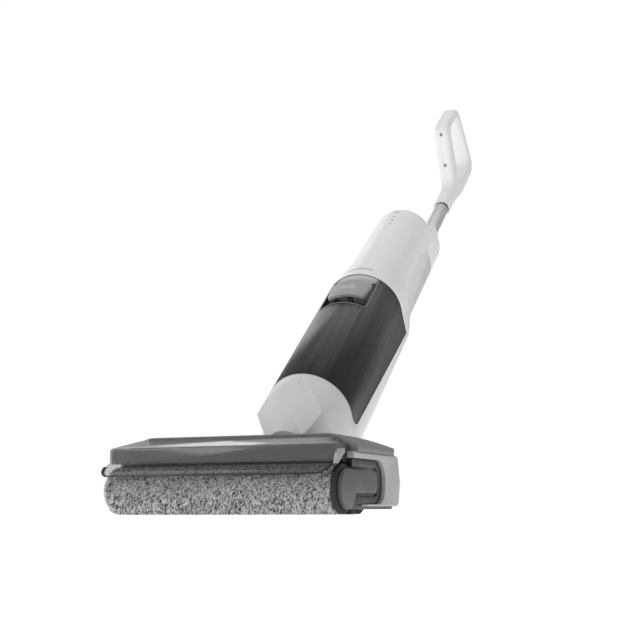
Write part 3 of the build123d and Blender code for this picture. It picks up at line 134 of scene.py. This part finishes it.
def fill(surface, **values):
    """Sets sockets of a shader, with underscores for the spaces in their names."""
    for key, value in values.items():
        surface.inputs[key.replace("_", " ")].default_value = value


def plastic(name, shade, rough, grain=0.5, relief=0.02, coat=0.0, alpha=1.0,
            tint=WHITE, wear=0.06, handling=0.18):
    """Moulded plastic with a spark-eroded grain, its size and relief given in millimetres.

    Wear is how far its shade is cloudy, and handling how far its gloss is smudged, as shares.
    """
    material, tree, surface, place = shader(name)
    cloud = noise(tree, place, scale=28)
    cloud = spread(tree, cloud, low=shade * (1 - wear / 2), high=shade * (1 + wear / 2))
    tree.links.new(grey(tree, cloud, tint), surface.inputs["Base Color"])
    smudge = noise(tree, place, scale=55, detail=5)
    smudge = spread(tree, smudge, low=rough * (1 - handling), high=rough * (1 + handling))
    tree.links.new(smudge, surface.inputs["Roughness"])
    pits = noise(tree, place, scale=1 / (grain * MM), detail=2)
    bump(tree, surface, pits, distance=relief * MM, strength=0.5)
    fill(surface, Coat_Weight=coat, Coat_Roughness=0.08, Alpha=alpha)
    return material


def metal(name, shade, rough, along=(1.0, 1.0, 1.0), tint=WHITE):
    """Bare metal with fine drawn lines, long where the scale along an axis is small."""
    material, tree, surface, place = shader(name)
    lines = noise(tree, stretched(tree, place, along), scale=900, detail=2)
    colour = grey(tree, spread(tree, lines, low=shade * 0.97, high=shade * 1.03), tint)
    tree.links.new(colour, surface.inputs["Base Color"])
    gloss = spread(tree, lines, low=rough * 0.92, high=rough * 1.08)
    tree.links.new(gloss, surface.inputs["Roughness"])
    fill(surface, Metallic=1.0)
    bump(tree, surface, lines, distance=0.001 * MM, strength=0.15)
    return material


def fleece(name):
    """Microfibre: each fibre has its own shade from the mesh, with painted shade that darkens it near its root."""
    material, tree, surface, place = shader(name)
    fibre = node(tree, "ShaderNodeAttribute", attribute_name="shade").outputs["Fac"]
    mottle = spread(tree, noise(tree, place, scale=260, detail=2), low=0.85, high=1.1)
    product = node(tree, "ShaderNodeMath", operation="MULTIPLY")
    tree.links.new(fibre, product.inputs[0])
    tree.links.new(mottle, product.inputs[1])
    tree.links.new(grey(tree, product.outputs[0]), surface.inputs["Base Color"])
    gloss = spread(tree, noise(tree, place, scale=900, detail=2), low=0.55, high=0.9)
    tree.links.new(gloss, surface.inputs["Roughness"])
    fuzz = noise(tree, place, scale=3000, detail=1)
    bump(tree, surface, fuzz, distance=0.05 * MM, strength=0.4)
    fill(surface, Sheen_Weight=0.25, Sheen_Roughness=0.5)
    return material


def pleats(name, shade):
    """Folded felt: close parallel folds with a fuzzy surface, with painted shade darkening the folds' hollows to
    half.
    """
    material, tree, surface, place = shader(name)
    wave = node(tree, "ShaderNodeTexWave", Scale=160.0, Distortion=0.4, bands_direction="X")
    tree.links.new(place, wave.inputs["Vector"])
    folds = wave.outputs["Fac"]
    # painted shade: the folds' hollows are darker, down to half the shade
    colour = grey(tree, spread(tree, folds, low=shade * 0.5, high=shade, start=0, end=1))
    tree.links.new(colour, surface.inputs["Base Color"])
    fill(surface, Roughness=0.9)
    bump(tree, surface, folds, distance=0.8 * MM, strength=0.7)
    return material


LOOKS = {
    "white_shell": plastic("white_shell", 0.80, 0.34, coat=0.12, wear=0.03),
    "pale_shell": plastic("pale_shell", 0.43, 0.42, wear=0.04),
    # the chin's white plastic painted darker: painted shade on its downward-facing front
    "white_shell_painted_shade": plastic("white_shell_painted_shade", 0.63, 0.40, coat=0.08, wear=0.03),
    "latch_shell": plastic("latch_shell", 0.32, 0.40, wear=0.05),
    "cap_shell": plastic("cap_shell", 0.07, 0.40, wear=0.08),
    "mid_shell": plastic("mid_shell", 0.17, 0.42, wear=0.06),
    "dark_plastic": plastic("dark_plastic", 0.018, 0.38, wear=0.2),
    "smoked_clear": plastic("smoked_clear", 0.006, 0.30, relief=0.001, alpha=0.93, wear=0.1,
                            handling=0.03),
    "smoked_visor": plastic("smoked_visor", 0.10, 0.14, relief=0.001, coat=0.8, alpha=0.74,
                            wear=0.1, handling=0.06),
    "smoked_lip": plastic("smoked_lip", 0.09, 0.10, relief=0.001, coat=1.0, alpha=0.34,
                          wear=0.1, handling=0.06),
    "printed_mark": plastic("printed_mark", 0.30, 0.5, wear=0.1),
    # a light grey for the strip round the latch's pocket: painted highlight on the pocket's edge
    "rim_painted_highlight": plastic("rim_painted_highlight", 0.22, 0.35, wear=0.1),
    "gasket": plastic("gasket", 0.006, 0.6, wear=0.2),
    "milky_clear": plastic("milky_clear", 0.78, 0.22, relief=0.004, coat=0.3, alpha=0.96,
                           wear=0.03),
    "satin_tube": metal("satin_tube", 0.66, 0.44, along=(1.0, 0.05, 0.05)),
    "steel": metal("steel", 0.5, 0.3),
    "pile": fleece("pile"),
    "rubber": plastic("rubber", 0.012, 0.7, grain=0.8, relief=0.05, wear=0.3),
    "filter_media": pleats("filter_media", 0.5),
    "contact_metal": metal("contact_metal", 0.8, 0.25, tint=(1.0, 0.83, 0.5)),
    "circuit": plastic("circuit", 0.07, 0.4, tint=(0.4, 1.0, 0.6), wear=0.3),
    "display": plastic("display", 0.006, 0.05, relief=0.001, coat=1.0, wear=0.1),
}
SLOT_OF = {entry["node"]: entry["material_slot"] for entry in frame["record"]["subparts"]}
BODY_OF = {name: body for body, names in frame["record"]["behaviour"]["bodies"].items()
           for name in names}
for name, cad in frame["nodes"].items():
    cad.data.materials.clear()
    cad.data.materials.append(LOOKS[SLOT_OF[name]])


# ---------------------------------------------------------------- CAD solids with broken edges
SMOOTH_ANGLE = math.radians(28)       # sharper edges than this are rounded
FLAT_ANGLE = math.radians(0.6)        # edges flatter than this are merged away
WELD = 0.01 * MM


def add_piece(name, mesh, cad_node, look=None, replace=True):
    """Puts a mesh in the scene as a piece on a CAD node's body, and usually in its place."""
    piece = bpy.data.objects.new(name, mesh)
    bpy.context.scene.collection.objects.link(piece)
    mesh.materials.clear()
    mesh.materials.append(LOOKS[look or SLOT_OF[cad_node]])
    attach(piece, BODY_OF[cad_node])
    if replace:
        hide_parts(cad_node)
    return piece


def round_edges(piece, width):
    """Rounds a piece's sharp edges by a width in millimetres."""
    rounding = piece.modifiers.new("rounding", "BEVEL")
    rounding.width = width * MM
    rounding.segments = 2
    rounding.limit_method = "ANGLE"
    rounding.angle_limit = SMOOTH_ANGLE
    return rounding


def soften(cad_node, width, look=None):
    """A copy of a CAD solid with its sharp edges rounded by a width in millimetres."""
    shape = bmesh.new()
    shape.from_mesh(frame["nodes"][cad_node].data)
    bmesh.ops.remove_doubles(shape, verts=shape.verts, dist=WELD)
    bmesh.ops.dissolve_limit(shape, angle_limit=FLAT_ANGLE, verts=shape.verts, edges=shape.edges)
    mesh = bpy.data.meshes.new(cad_node + "_finished")
    shape.to_mesh(mesh)
    shape.free()
    mesh.shade_smooth()
    piece = add_piece(cad_node + "_finished", mesh, cad_node, look)
    rounding = round_edges(piece, width)
    rounding.harden_normals = True
    rounding.use_clamp_overlap = True
    return piece


SOFTENED = {
    "chin_housing": 0.35, "spine_housing": 0.6, "upper_housing": 0.6, "clean_water_tank": 0.6,
    "tube_housing": 0.6, "handle_loop": 0.3, "handle_tube": 0.3, "tube_ring": 0.3,
    "dirty_tank": 0.5, "tank_latch": 0.8, "head_top_cover": 0.8, "head_base": 0.6,
    "right_side_panel": 1.0, "left_side_panel": 1.0, "end_cap": 0.7, "recess_plate": 0.5,
    "roller_cover": 0.6, "cover_trim": 0.3, "cover_clip": 0.6, "neck_yoke": 0.6,
    "pivot_bracket": 0.5, "tank_lid": 0.4, "left_wheel": 0.5, "right_wheel": 0.5,
    "left_wheel_tread": 0.5, "right_wheel_tread": 0.5, "clean_tank_cap": 0.5,
    "corner_feet": 0.4,
}
# the chin wears the white shell painted darker, as painted shade
SPECIAL_LOOK = {
    "roller_cover": "smoked_visor", "tank_latch": "latch_shell", "cover_clip": "latch_shell",
    "end_cap": "cap_shell", "chin_housing": "white_shell_painted_shade",
}
FINISHED = {name: soften(name, width, SPECIAL_LOOK.get(name)) for name, width in SOFTENED.items()}
LIP_TOP = 57.6 * MM                   # the clear lip of the visor reaches this high at rest
visor = FINISHED["roller_cover"].data
visor.materials.append(LOOKS["smoked_lip"])
for face in visor.polygons:
    face.material_index = int(face.center.z < LIP_TOP)


# ---------------------------------------------------------------- small pieces on the body
# Millimetres in the leaning body's own axes: y rearwards and z along the body from the pivot.
TANK_R = (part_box("dirty_tank")[1].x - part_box("dirty_tank")[0].x) / 2 / MM
TANK_ARC_Y = 6.0                      # centre of the round front wall
TANK_LOW, TANK_TOP = 103.0, 346.0     # ends of the smoked wall on its front line
TANK_SLOPE = 0.11                     # how fast both ends drop towards the back
SEAM_LOW_Y, SEAM_TOP_Y, TIP_R = 27.0, 42.0, 12.0
POCKET_HALF, POCKET_LOW, LATCH_PROUD = 31.0, 272.0, 2.2
UPPER_R, UPPER_ARC_Y = 45.0, 5.0
SHOULDER_LOW, SHOULDER_TOP = 352.0, 412.0
UPPER_MID_FRONT = (SHOULDER_TOP, -40.0)    # height and depth of two points on the upper front line
UPPER_TOP_FRONT = (582.0, -35.0)
ARC_STEPS, SIDE_STEPS, TIP_STEPS, CORNER_STEPS = 48, 24, 12, 8
PAD_STEPS, PAD_SUNK, PAD_EDGE = 32, 0.6, 0.2
STRIP_SUNK = 0.5
MARK_STEPS, MARK_PROUD = 40, 0.12


def upper_front(z):
    """Depth of the upper housing's front line at a height above the shoulder."""
    low, high = UPPER_MID_FRONT, UPPER_TOP_FRONT
    return low[1] + (high[1] - low[1]) * (z - low[0]) / (high[0] - low[0])


def new_mesh(name, vertices, faces):
    """A mesh from corners and faces, with the faces turned the same way round."""
    mesh = bpy.data.meshes.new(name)
    mesh.from_pydata([tuple(v) for v in vertices], [], faces)
    mesh.validate()
    shape = bmesh.new()
    shape.from_mesh(mesh)
    bmesh.ops.recalc_face_normals(shape, faces=shape.faces)
    shape.to_mesh(mesh)
    shape.free()
    return mesh


def shoulder_front(z):
    """Radius and arc centre depth of the upper housing where it narrows."""
    share = (z - SHOULDER_LOW) / (SHOULDER_TOP - SHOULDER_LOW)
    return TANK_R + (UPPER_R - TANK_R) * share, TANK_ARC_Y + (UPPER_ARC_Y - TANK_ARC_Y) * share


def latch_front(z):
    """Radius and arc centre depth of the latch's outer wall, the same at every height."""
    return TANK_R + LATCH_PROUD, TANK_ARC_Y


def wall_point(wall, x, z, proud):
    """A point on a round front wall, standing out of it by a distance."""
    radius, arc_y = wall(z)
    return on_body(x, arc_y - math.sqrt((radius + proud) ** 2 - x ** 2), z)


def curved_pad(name, cad_node, look, wall, centre_z, half_x, half_z, corner, proud, bow=0.0):
    """A thin pad with round corners on a round front wall; bow lowers its two ends."""
    vertices, faces = [], []
    for step in range(PAD_STEPS + 1):
        x = -half_x + 2 * half_x * step / PAD_STEPS
        from_end = half_x - abs(x)
        cut = 0.0
        if from_end < corner:
            cut = corner - math.sqrt(max(corner ** 2 - (corner - from_end) ** 2, 0.0))
        reach = half_z - min(cut, half_z * 0.94)
        middle = centre_z - bow * (x / half_x) ** 2
        for depth in (proud, -PAD_SUNK):
            for z in (middle - reach, middle + reach):
                vertices.append(wall_point(wall, x, z, depth))
    for step in range(PAD_STEPS):
        a, b = step * 4, step * 4 + 4
        for i, j in ((0, 1), (1, 3), (3, 2), (2, 0)):
            faces.append((a + i, a + j, b + j, b + i))
    end = PAD_STEPS * 4
    faces += [(0, 1, 3, 2), (end, end + 1, end + 3, end + 2)]
    piece = add_piece(name, new_mesh(name, vertices, faces), cad_node, look, replace=False)
    round_edges(piece, PAD_EDGE)


def ribbon(name, cad_node, look, places, width, thick, closed=True):
    """A flat strip along a path of places, each a position and its outward direction."""
    count = len(places)
    vertices, faces = [], []
    for step, (here, out) in enumerate(places):
        ahead = Vector(places[(step + 1) % count if closed else min(step + 1, count - 1)][0])
        behind = Vector(places[step - 1 if closed else max(step - 1, 0)][0])
        out = Vector(out).normalized()
        side = (ahead - behind).cross(out).normalized() * width / 2
        for lift, across in ((thick, side), (thick, -side), (-STRIP_SUNK, -side),
                             (-STRIP_SUNK, side)):
            vertices.append(on_body(*(Vector(here) + across + out * lift)))
    for step in range(count if closed else count - 1):
        a, b = step * 4, (step + 1) % count * 4
        for i in range(4):
            j = (i + 1) % 4
            faces.append((a + i, a + j, b + j, b + i))
    if not closed:
        end = count * 4 - 4
        faces += [(0, 1, 2, 3), (end, end + 1, end + 2, end + 3)]
    add_piece(name, new_mesh(name, vertices, faces), cad_node, look, replace=False)


def tank_outline(grow):
    """Places all the way round the smoked tank's edge, where it meets the white shells."""
    def edge(y, start):
        return start - TANK_SLOPE * (y - (TANK_ARC_Y - TANK_R))

    def front_arc(start, out, across):
        for step in range(ARC_STEPS + 1):
            turn = math.pi * step / ARC_STEPS
            y = TANK_ARC_Y - TANK_R * math.sin(turn)
            places.append(((across * TANK_R * math.cos(turn), y, edge(y, start) + out),
                           (across * math.cos(turn), -math.sin(turn), 0)))

    corner = Vector((SEAM_LOW_Y + grow, edge(SEAM_LOW_Y, TANK_LOW) - grow))
    top = Vector((SEAM_TOP_Y + grow, edge(SEAM_TOP_Y, TANK_TOP) + grow))
    start = Vector((TANK_ARC_Y, edge(TANK_ARC_Y, TANK_LOW) - grow))
    inward, onward = (start - corner).normalized(), (top - corner).normalized()
    tip_r, half_angle = TIP_R + grow, inward.angle(onward) / 2
    cut = tip_r / math.tan(half_angle)
    centre = corner + (inward + onward).normalized() * tip_r / math.sin(half_angle)
    first, last = corner + inward * cut - centre, corner + onward * cut - centre
    side = [centre + first.lerp(last, step / TIP_STEPS).normalized() * tip_r
            for step in range(TIP_STEPS + 1)]
    side += [(corner + onward * cut).lerp(top, step / SIDE_STEPS)
             for step in range(1, SIDE_STEPS + 1)]
    places = []
    front_arc(TANK_LOW, -grow, -1)
    places += [((TANK_R, y, z), (1, 0, 0)) for y, z in side]
    front_arc(TANK_TOP, grow, 1)
    places += [((-TANK_R, y, z), (-1, 0, 0)) for y, z in reversed(side)]
    return places


def pocket_outline(half_x, low, high, corner):
    """Places along three sides of the latch's pocket in the tank, with round lower corners."""
    flat = [(-half_x, high)]
    for centre_x, start in ((-half_x + corner, math.pi), (half_x - corner, 1.5 * math.pi)):
        for step in range(CORNER_STEPS + 1):
            turn = start + math.pi / 2 * step / CORNER_STEPS
            flat.append((centre_x + corner * math.cos(turn),
                         low + corner + corner * math.sin(turn)))
    flat.append((half_x, high))
    full = []
    for (x0, z0), (x1, z1) in zip(flat, flat[1:]):
        parts = max(1, round(math.hypot(x1 - x0, z1 - z0) / 3))
        full += [(x0 + (x1 - x0) * step / parts, z0 + (z1 - z0) * step / parts)
                 for step in range(parts)]
    full.append(flat[-1])
    places = []
    for x, z in full:
        deep = math.sqrt(TANK_R ** 2 - x ** 2)
        places.append(((x, TANK_ARC_Y - deep, z), (x / TANK_R, -deep / TANK_R, 0)))
    return places


def front_mark(name, centre_z, inner, outer, stretch=1.0):
    """A small printed ring, or a dot when inner is small, on the upper housing's front line."""
    vertices, faces = [], []
    for step in range(MARK_STEPS):
        turn = 2 * math.pi * step / MARK_STEPS
        for radius in (inner, outer):
            x = radius * math.cos(turn) * stretch
            z = centre_z + radius * math.sin(turn)
            y = upper_front(z) + x * x / (2 * UPPER_R) - MARK_PROUD
            vertices.append(on_body(x, y, z))
    for step in range(MARK_STEPS):
        ahead = (step + 1) % MARK_STEPS
        faces.append((step * 2, step * 2 + 1, ahead * 2 + 1, ahead * 2))
    mesh = new_mesh(name, vertices, faces)
    add_piece(name, mesh, "upper_housing", "printed_mark", replace=False)


front_mark("front_ring", 563, inner=2.6, outer=3.6)
for dot, height in (("front_dot_high", 546), ("front_dot_mid", 534), ("front_dot_low", 522)):
    front_mark(dot, height, inner=0.2, outer=1.4, stretch=1.4)
ribbon("tank_edge_line", "dirty_tank", "gasket", tank_outline(0.15), width=0.9, thick=0.1)
# a raised strip round the latch's pocket, painted light as the highlight along its edge
RIM_OUT = 1.6
rim = pocket_outline(POCKET_HALF + RIM_OUT, POCKET_LOW - RIM_OUT, TANK_TOP - 4, corner=5)
ribbon("latch_rim", "dirty_tank", "rim_painted_highlight", rim, width=1.0, thick=0.35, closed=False)
# a grey crescent pad on the white shoulder above the tank: painted shade standing in for a shallow finger scoop
curved_pad("crescent_painted_shade", "upper_housing", "pale_shell", shoulder_front, centre_z=366,
           half_x=19, half_z=1.9, corner=1.9, proud=0.15, bow=2.5)
curved_pad("latch_grip_pad", "tank_latch", "pale_shell", latch_front, centre_z=309,
           half_x=11, half_z=4.2, corner=1.6, proud=0.3)


# ---------------------------------------------------------------- roller pile
PILE_LOW, PILE_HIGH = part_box("roller_pile")
PILE_R = (PILE_HIGH.z - PILE_LOW.z) / 2
FIBRE_ROOT = PILE_R - 4.2 * MM
FIBRES, FIBRE_STEPS = 40000, 4
FIBRE_INSET = 0.6                     # millimetres left free at each end of the sleeve
END_LENGTH, END_DROP = 3.5, 2.2       # the sleeve is rounded off over its last millimetres
FIBRE_CUT = 1.6                       # fibres are cut back by up to four fifths of this
TUFT_ALONG, TUFT_AROUND = 0.8, 1.0    # size of one tuft
TUFT_GRID = (400, 120)
SHADED_GAP_SHARE, STRAY_SHARE = 0.38, 0.03  # tufts painted near black as painted shade in the gaps between tufts, and fibres unlike their tuft
FELT_RINGS, FELT_AROUND = 300, 190
FELT_PROUD, FELT_INSET, FELT_THICK, FELT_ROUND = 0.8, 0.3, 3.0, 2.0


def fibre_sleeve():
    """Short fibres on a sleeve round the roller's core, each a tapered ribbon with its shade; the shades hold
    painted shade at the roots and in the near-black tufts.
    """
    low, high, radius, root, count = PILE_LOW, PILE_HIGH, PILE_R, FIBRE_ROOT, FIBRES
    rng = np.random.default_rng(11)
    along = rng.uniform(low.x + FIBRE_INSET * MM, high.x - FIBRE_INSET * MM, count)
    turn = rng.uniform(0, 2 * math.pi, count)
    edge = np.minimum(along - low.x, high.x - along)
    drop = np.clip(1 - edge / (END_LENGTH * MM), 0, 1) ** 2 * END_DROP * MM
    reach = radius - drop - rng.uniform(0, 0.9, count) ** 2 * FIBRE_CUT * MM
    clump = (np.sin(along * 900 + 3 * np.sin(turn * 7))
             + np.sin(turn * 23 + 2 * np.sin(along * 400)))
    lean_turn = 0.05 + 0.03 * rng.standard_normal(count) + 0.03 * clump
    lean_along = (0.4 * rng.standard_normal(count) + 0.5 * clump) * MM
    width = rng.uniform(0.55, 1.05, count) * MM
    facing = rng.normal(math.pi / 2, 0.5, count)
    points = np.zeros((count, FIBRE_STEPS, 2, 3))
    for step in range(FIBRE_STEPS):
        part = step / (FIBRE_STEPS - 1)
        span = root + (reach - root) * (1 - (1 - part) ** 1.4)
        angle = turn + lean_turn * part ** 1.5
        x = np.clip(along + lean_along * part ** 1.5, low.x, high.x)
        half = width * (1 - 0.55 * part) / 2
        out = np.stack([np.zeros(count), np.cos(angle), np.sin(angle)], 1)
        side = np.stack([np.zeros(count), -np.sin(angle), np.cos(angle)], 1)
        across = side * np.cos(facing)[:, None] + np.array([1.0, 0, 0]) * np.sin(facing)[:, None]
        centre = out * span[:, None] + np.stack([x, np.zeros(count), np.zeros(count)], 1)
        points[:, step, 0] = centre - across * half[:, None]
        points[:, step, 1] = centre + across * half[:, None]
    points += np.array([0, ROLLER_AXIS.y, ROLLER_AXIS.z])
    vertices = points.reshape(-1, 3)
    first = np.arange(count)[:, None] * FIBRE_STEPS * 2 + np.arange(FIBRE_STEPS - 1)[None, :] * 2
    faces = np.stack([first, first + 1, first + 3, first + 2], -1).reshape(-1, 4)
    tufts = rng.random(TUFT_GRID)
    row = ((along - low.x) / (TUFT_ALONG * MM)).astype(int) % TUFT_GRID[0]
    column = (turn * radius / (TUFT_AROUND * MM)).astype(int) % TUFT_GRID[1]
    # painted shade: near-black tufts stand in for the shaded gaps between the tufts
    painted_gap_shade = (tufts[row, column] < SHADED_GAP_SHARE) ^ (rng.random(count) < STRAY_SHARE)
    shade = np.where(painted_gap_shade, rng.uniform(0.01, 0.06, count), rng.uniform(0.8, 1.0, count))
    # painted shade: each fibre darkens from its tip to 0.85 at its root, where the fibres shade each other
    painted_root_shade = np.repeat(np.linspace(0.85, 1.0, FIBRE_STEPS), 2)
    shades = np.repeat(shade[:, None], FIBRE_STEPS * 2, 1) * painted_root_shade[None, :]
    return vertices, faces, shades.reshape(-1)


def quad_mesh(name, vertices, faces, shades):
    """A mesh of many four-sided faces, with a shade for each corner."""
    mesh = bpy.data.meshes.new(name)
    mesh.vertices.add(len(vertices))
    mesh.vertices.foreach_set("co", np.asarray(vertices, np.float32).reshape(-1))
    mesh.loops.add(len(faces) * 4)
    mesh.loops.foreach_set("vertex_index", np.asarray(faces, np.int32).reshape(-1))
    mesh.polygons.add(len(faces))
    mesh.polygons.foreach_set("loop_start", np.arange(0, len(faces) * 4, 4, dtype=np.int32))
    mesh.update(calc_edges=True)
    mesh.validate()
    shade = mesh.attributes.new("shade", "FLOAT", "POINT")
    shade.data.foreach_set("value", np.asarray(shades, np.float32))
    return mesh


def felt_sleeve():
    """The dense felt under the fibres, its surface uneven like packed tufts."""
    low, high = PILE_LOW.x + FELT_INSET * MM, PILE_HIGH.x - FELT_INSET * MM
    radius = FIBRE_ROOT + FELT_PROUD * MM
    rings, around = FELT_RINGS, FELT_AROUND
    x = np.linspace(low, high, rings)
    turn = np.linspace(0, 2 * math.pi, around, endpoint=False)
    grid_x, grid_t = np.meshgrid(x, turn, indexing="ij")
    rng = np.random.default_rng(5)
    rough = rng.uniform(-0.5, 0.5, grid_x.shape) * MM
    edge = np.minimum(grid_x - low, high - grid_x)
    span = radius + rough - np.clip(1 - edge / (FELT_THICK * MM), 0, 1) ** 2 * FELT_ROUND * MM
    vertices = np.stack([grid_x, ROLLER_AXIS.y + span * np.cos(grid_t),
                         ROLLER_AXIS.z + span * np.sin(grid_t)], -1)
    index = np.arange(rings * around).reshape(rings, around)
    ahead = np.roll(index, -1, 1)
    faces = np.stack([index[:-1], ahead[:-1], ahead[1:], index[1:]], -1).reshape(-1, 4)
    inner = vertices[[0, -1]].copy()
    shrink = (radius - FELT_THICK * MM) / radius
    inner[..., 1] = ROLLER_AXIS.y + (inner[..., 1] - ROLLER_AXIS.y) * shrink
    inner[..., 2] = ROLLER_AXIS.z + (inner[..., 2] - ROLLER_AXIS.z) * shrink
    base = rings * around
    caps = []
    for side, ring in enumerate((index[0], index[-1])):
        inside = base + side * around + np.arange(around)
        quad = np.stack([ring, np.roll(ring, -1), np.roll(inside, -1), inside], -1)
        caps.append(quad if side else quad[:, ::-1])
    every = np.concatenate([vertices.reshape(-1, 3), inner.reshape(-1, 3)])
    return every, np.concatenate([faces, *caps]), np.full(len(every), 0.5)


add_piece("roller_fibres", quad_mesh("roller_fibres", *fibre_sleeve()), "roller_pile")
add_piece("roller_felt", quad_mesh("roller_felt", *felt_sleeve()), "roller_pile", replace=False)


# ---------------------------------------------------------------- camera, floor and light
def area_light(name, place, target, size, power):
    """A rectangular softbox at a place, aimed at a target; its power is in watts."""
    data = bpy.data.lights.new(name, "AREA")
    data.shape = "RECTANGLE"
    data.size, data.size_y = size
    data.energy = power
    lamp = bpy.data.objects.new(name, data)
    bpy.context.scene.collection.objects.link(lamp)
    lamp.location = place
    lamp.rotation_euler = (Vector(target) - Vector(place)).to_track_quat("-Z", "Y").to_euler()


YAW, PITCH, ROLL = math.radians(22.566), math.radians(8.888), math.radians(-0.251)
CAMERA_PLACE = Vector((0.5649, ROLLER_AXIS.y - 1.1065, 0.0069))
camera_data = bpy.data.cameras.new("camera")
camera_data.sensor_width = 36.0
camera_data.lens = 67.5
camera_data.clip_start = 0.01
camera = bpy.data.objects.new("camera", camera_data)
bpy.context.scene.collection.objects.link(camera)
forward = Vector((-math.sin(YAW) * math.cos(PITCH), math.cos(YAW) * math.cos(PITCH),
                  math.sin(PITCH)))
level = Vector((math.cos(YAW), math.sin(YAW), 0))
upward = level.cross(forward)
right = level * math.cos(ROLL) + upward * math.sin(ROLL)
up = upward * math.cos(ROLL) - level * math.sin(ROLL)
turned = Matrix((right, up, -forward)).transposed().to_4x4()
camera.matrix_world = Matrix.Translation(CAMERA_PLACE) @ turned
bpy.context.scene.camera = camera

FLOOR_HALF = 6.0
OPAQUE_WHITE = (1, 1, 1, 1)
floor_corners = [(across * FLOOR_HALF, deep * FLOOR_HALF, 0)
                 for across, deep in ((-1, -1), (1, -1), (1, 1), (-1, 1))]
floor_mesh = bpy.data.meshes.new("floor")
floor_mesh.from_pydata(floor_corners, [], [(0, 1, 2, 3)])
paint = plastic("floor_paint", 0.86, 0.7, grain=1.5, relief=0.02, wear=0.01)
floor_mesh.materials.append(paint)
fill(paint.node_tree.nodes["Principled BSDF"], Emission_Color=OPAQUE_WHITE,
     Emission_Strength=0.6, Specular_IOR_Level=0.0)
floor = bpy.data.objects.new("floor", floor_mesh)
bpy.context.scene.collection.objects.link(floor)

world = bpy.data.worlds.new("studio")
bpy.context.scene.world = world
world.use_nodes = True
air = world.node_tree
sky = air.nodes["Background"]         # lights the object
fill(sky, Color=OPAQUE_WHITE, Strength=0.5)
seen = node(air, "ShaderNodeBackground", Color=OPAQUE_WHITE, Strength=1.0)    # the backdrop
pick = air.nodes.new("ShaderNodeMixShader")
ray = air.nodes.new("ShaderNodeLightPath")
air.links.new(ray.outputs["Is Camera Ray"], pick.inputs["Fac"])
air.links.new(sky.outputs[0], pick.inputs[1])
air.links.new(seen.outputs[0], pick.inputs[2])
air.links.new(pick.outputs[0], air.nodes["World Output"].inputs["Surface"])

AIM = (0.0, 0.0, 0.25)
area_light("key", (-1.6, -2.0, 1.3), AIM, size=(1.8, 1.8), power=22)
area_light("edge", (-1.3, 1.45, 1.4), AIM, size=(0.8, 1.2), power=2.6)
area_light("top", (0.2, 0.6, 2.6), AIM, size=(2.6, 2.6), power=11)
bpy.context.scene.view_settings.view_transform = "Standard"
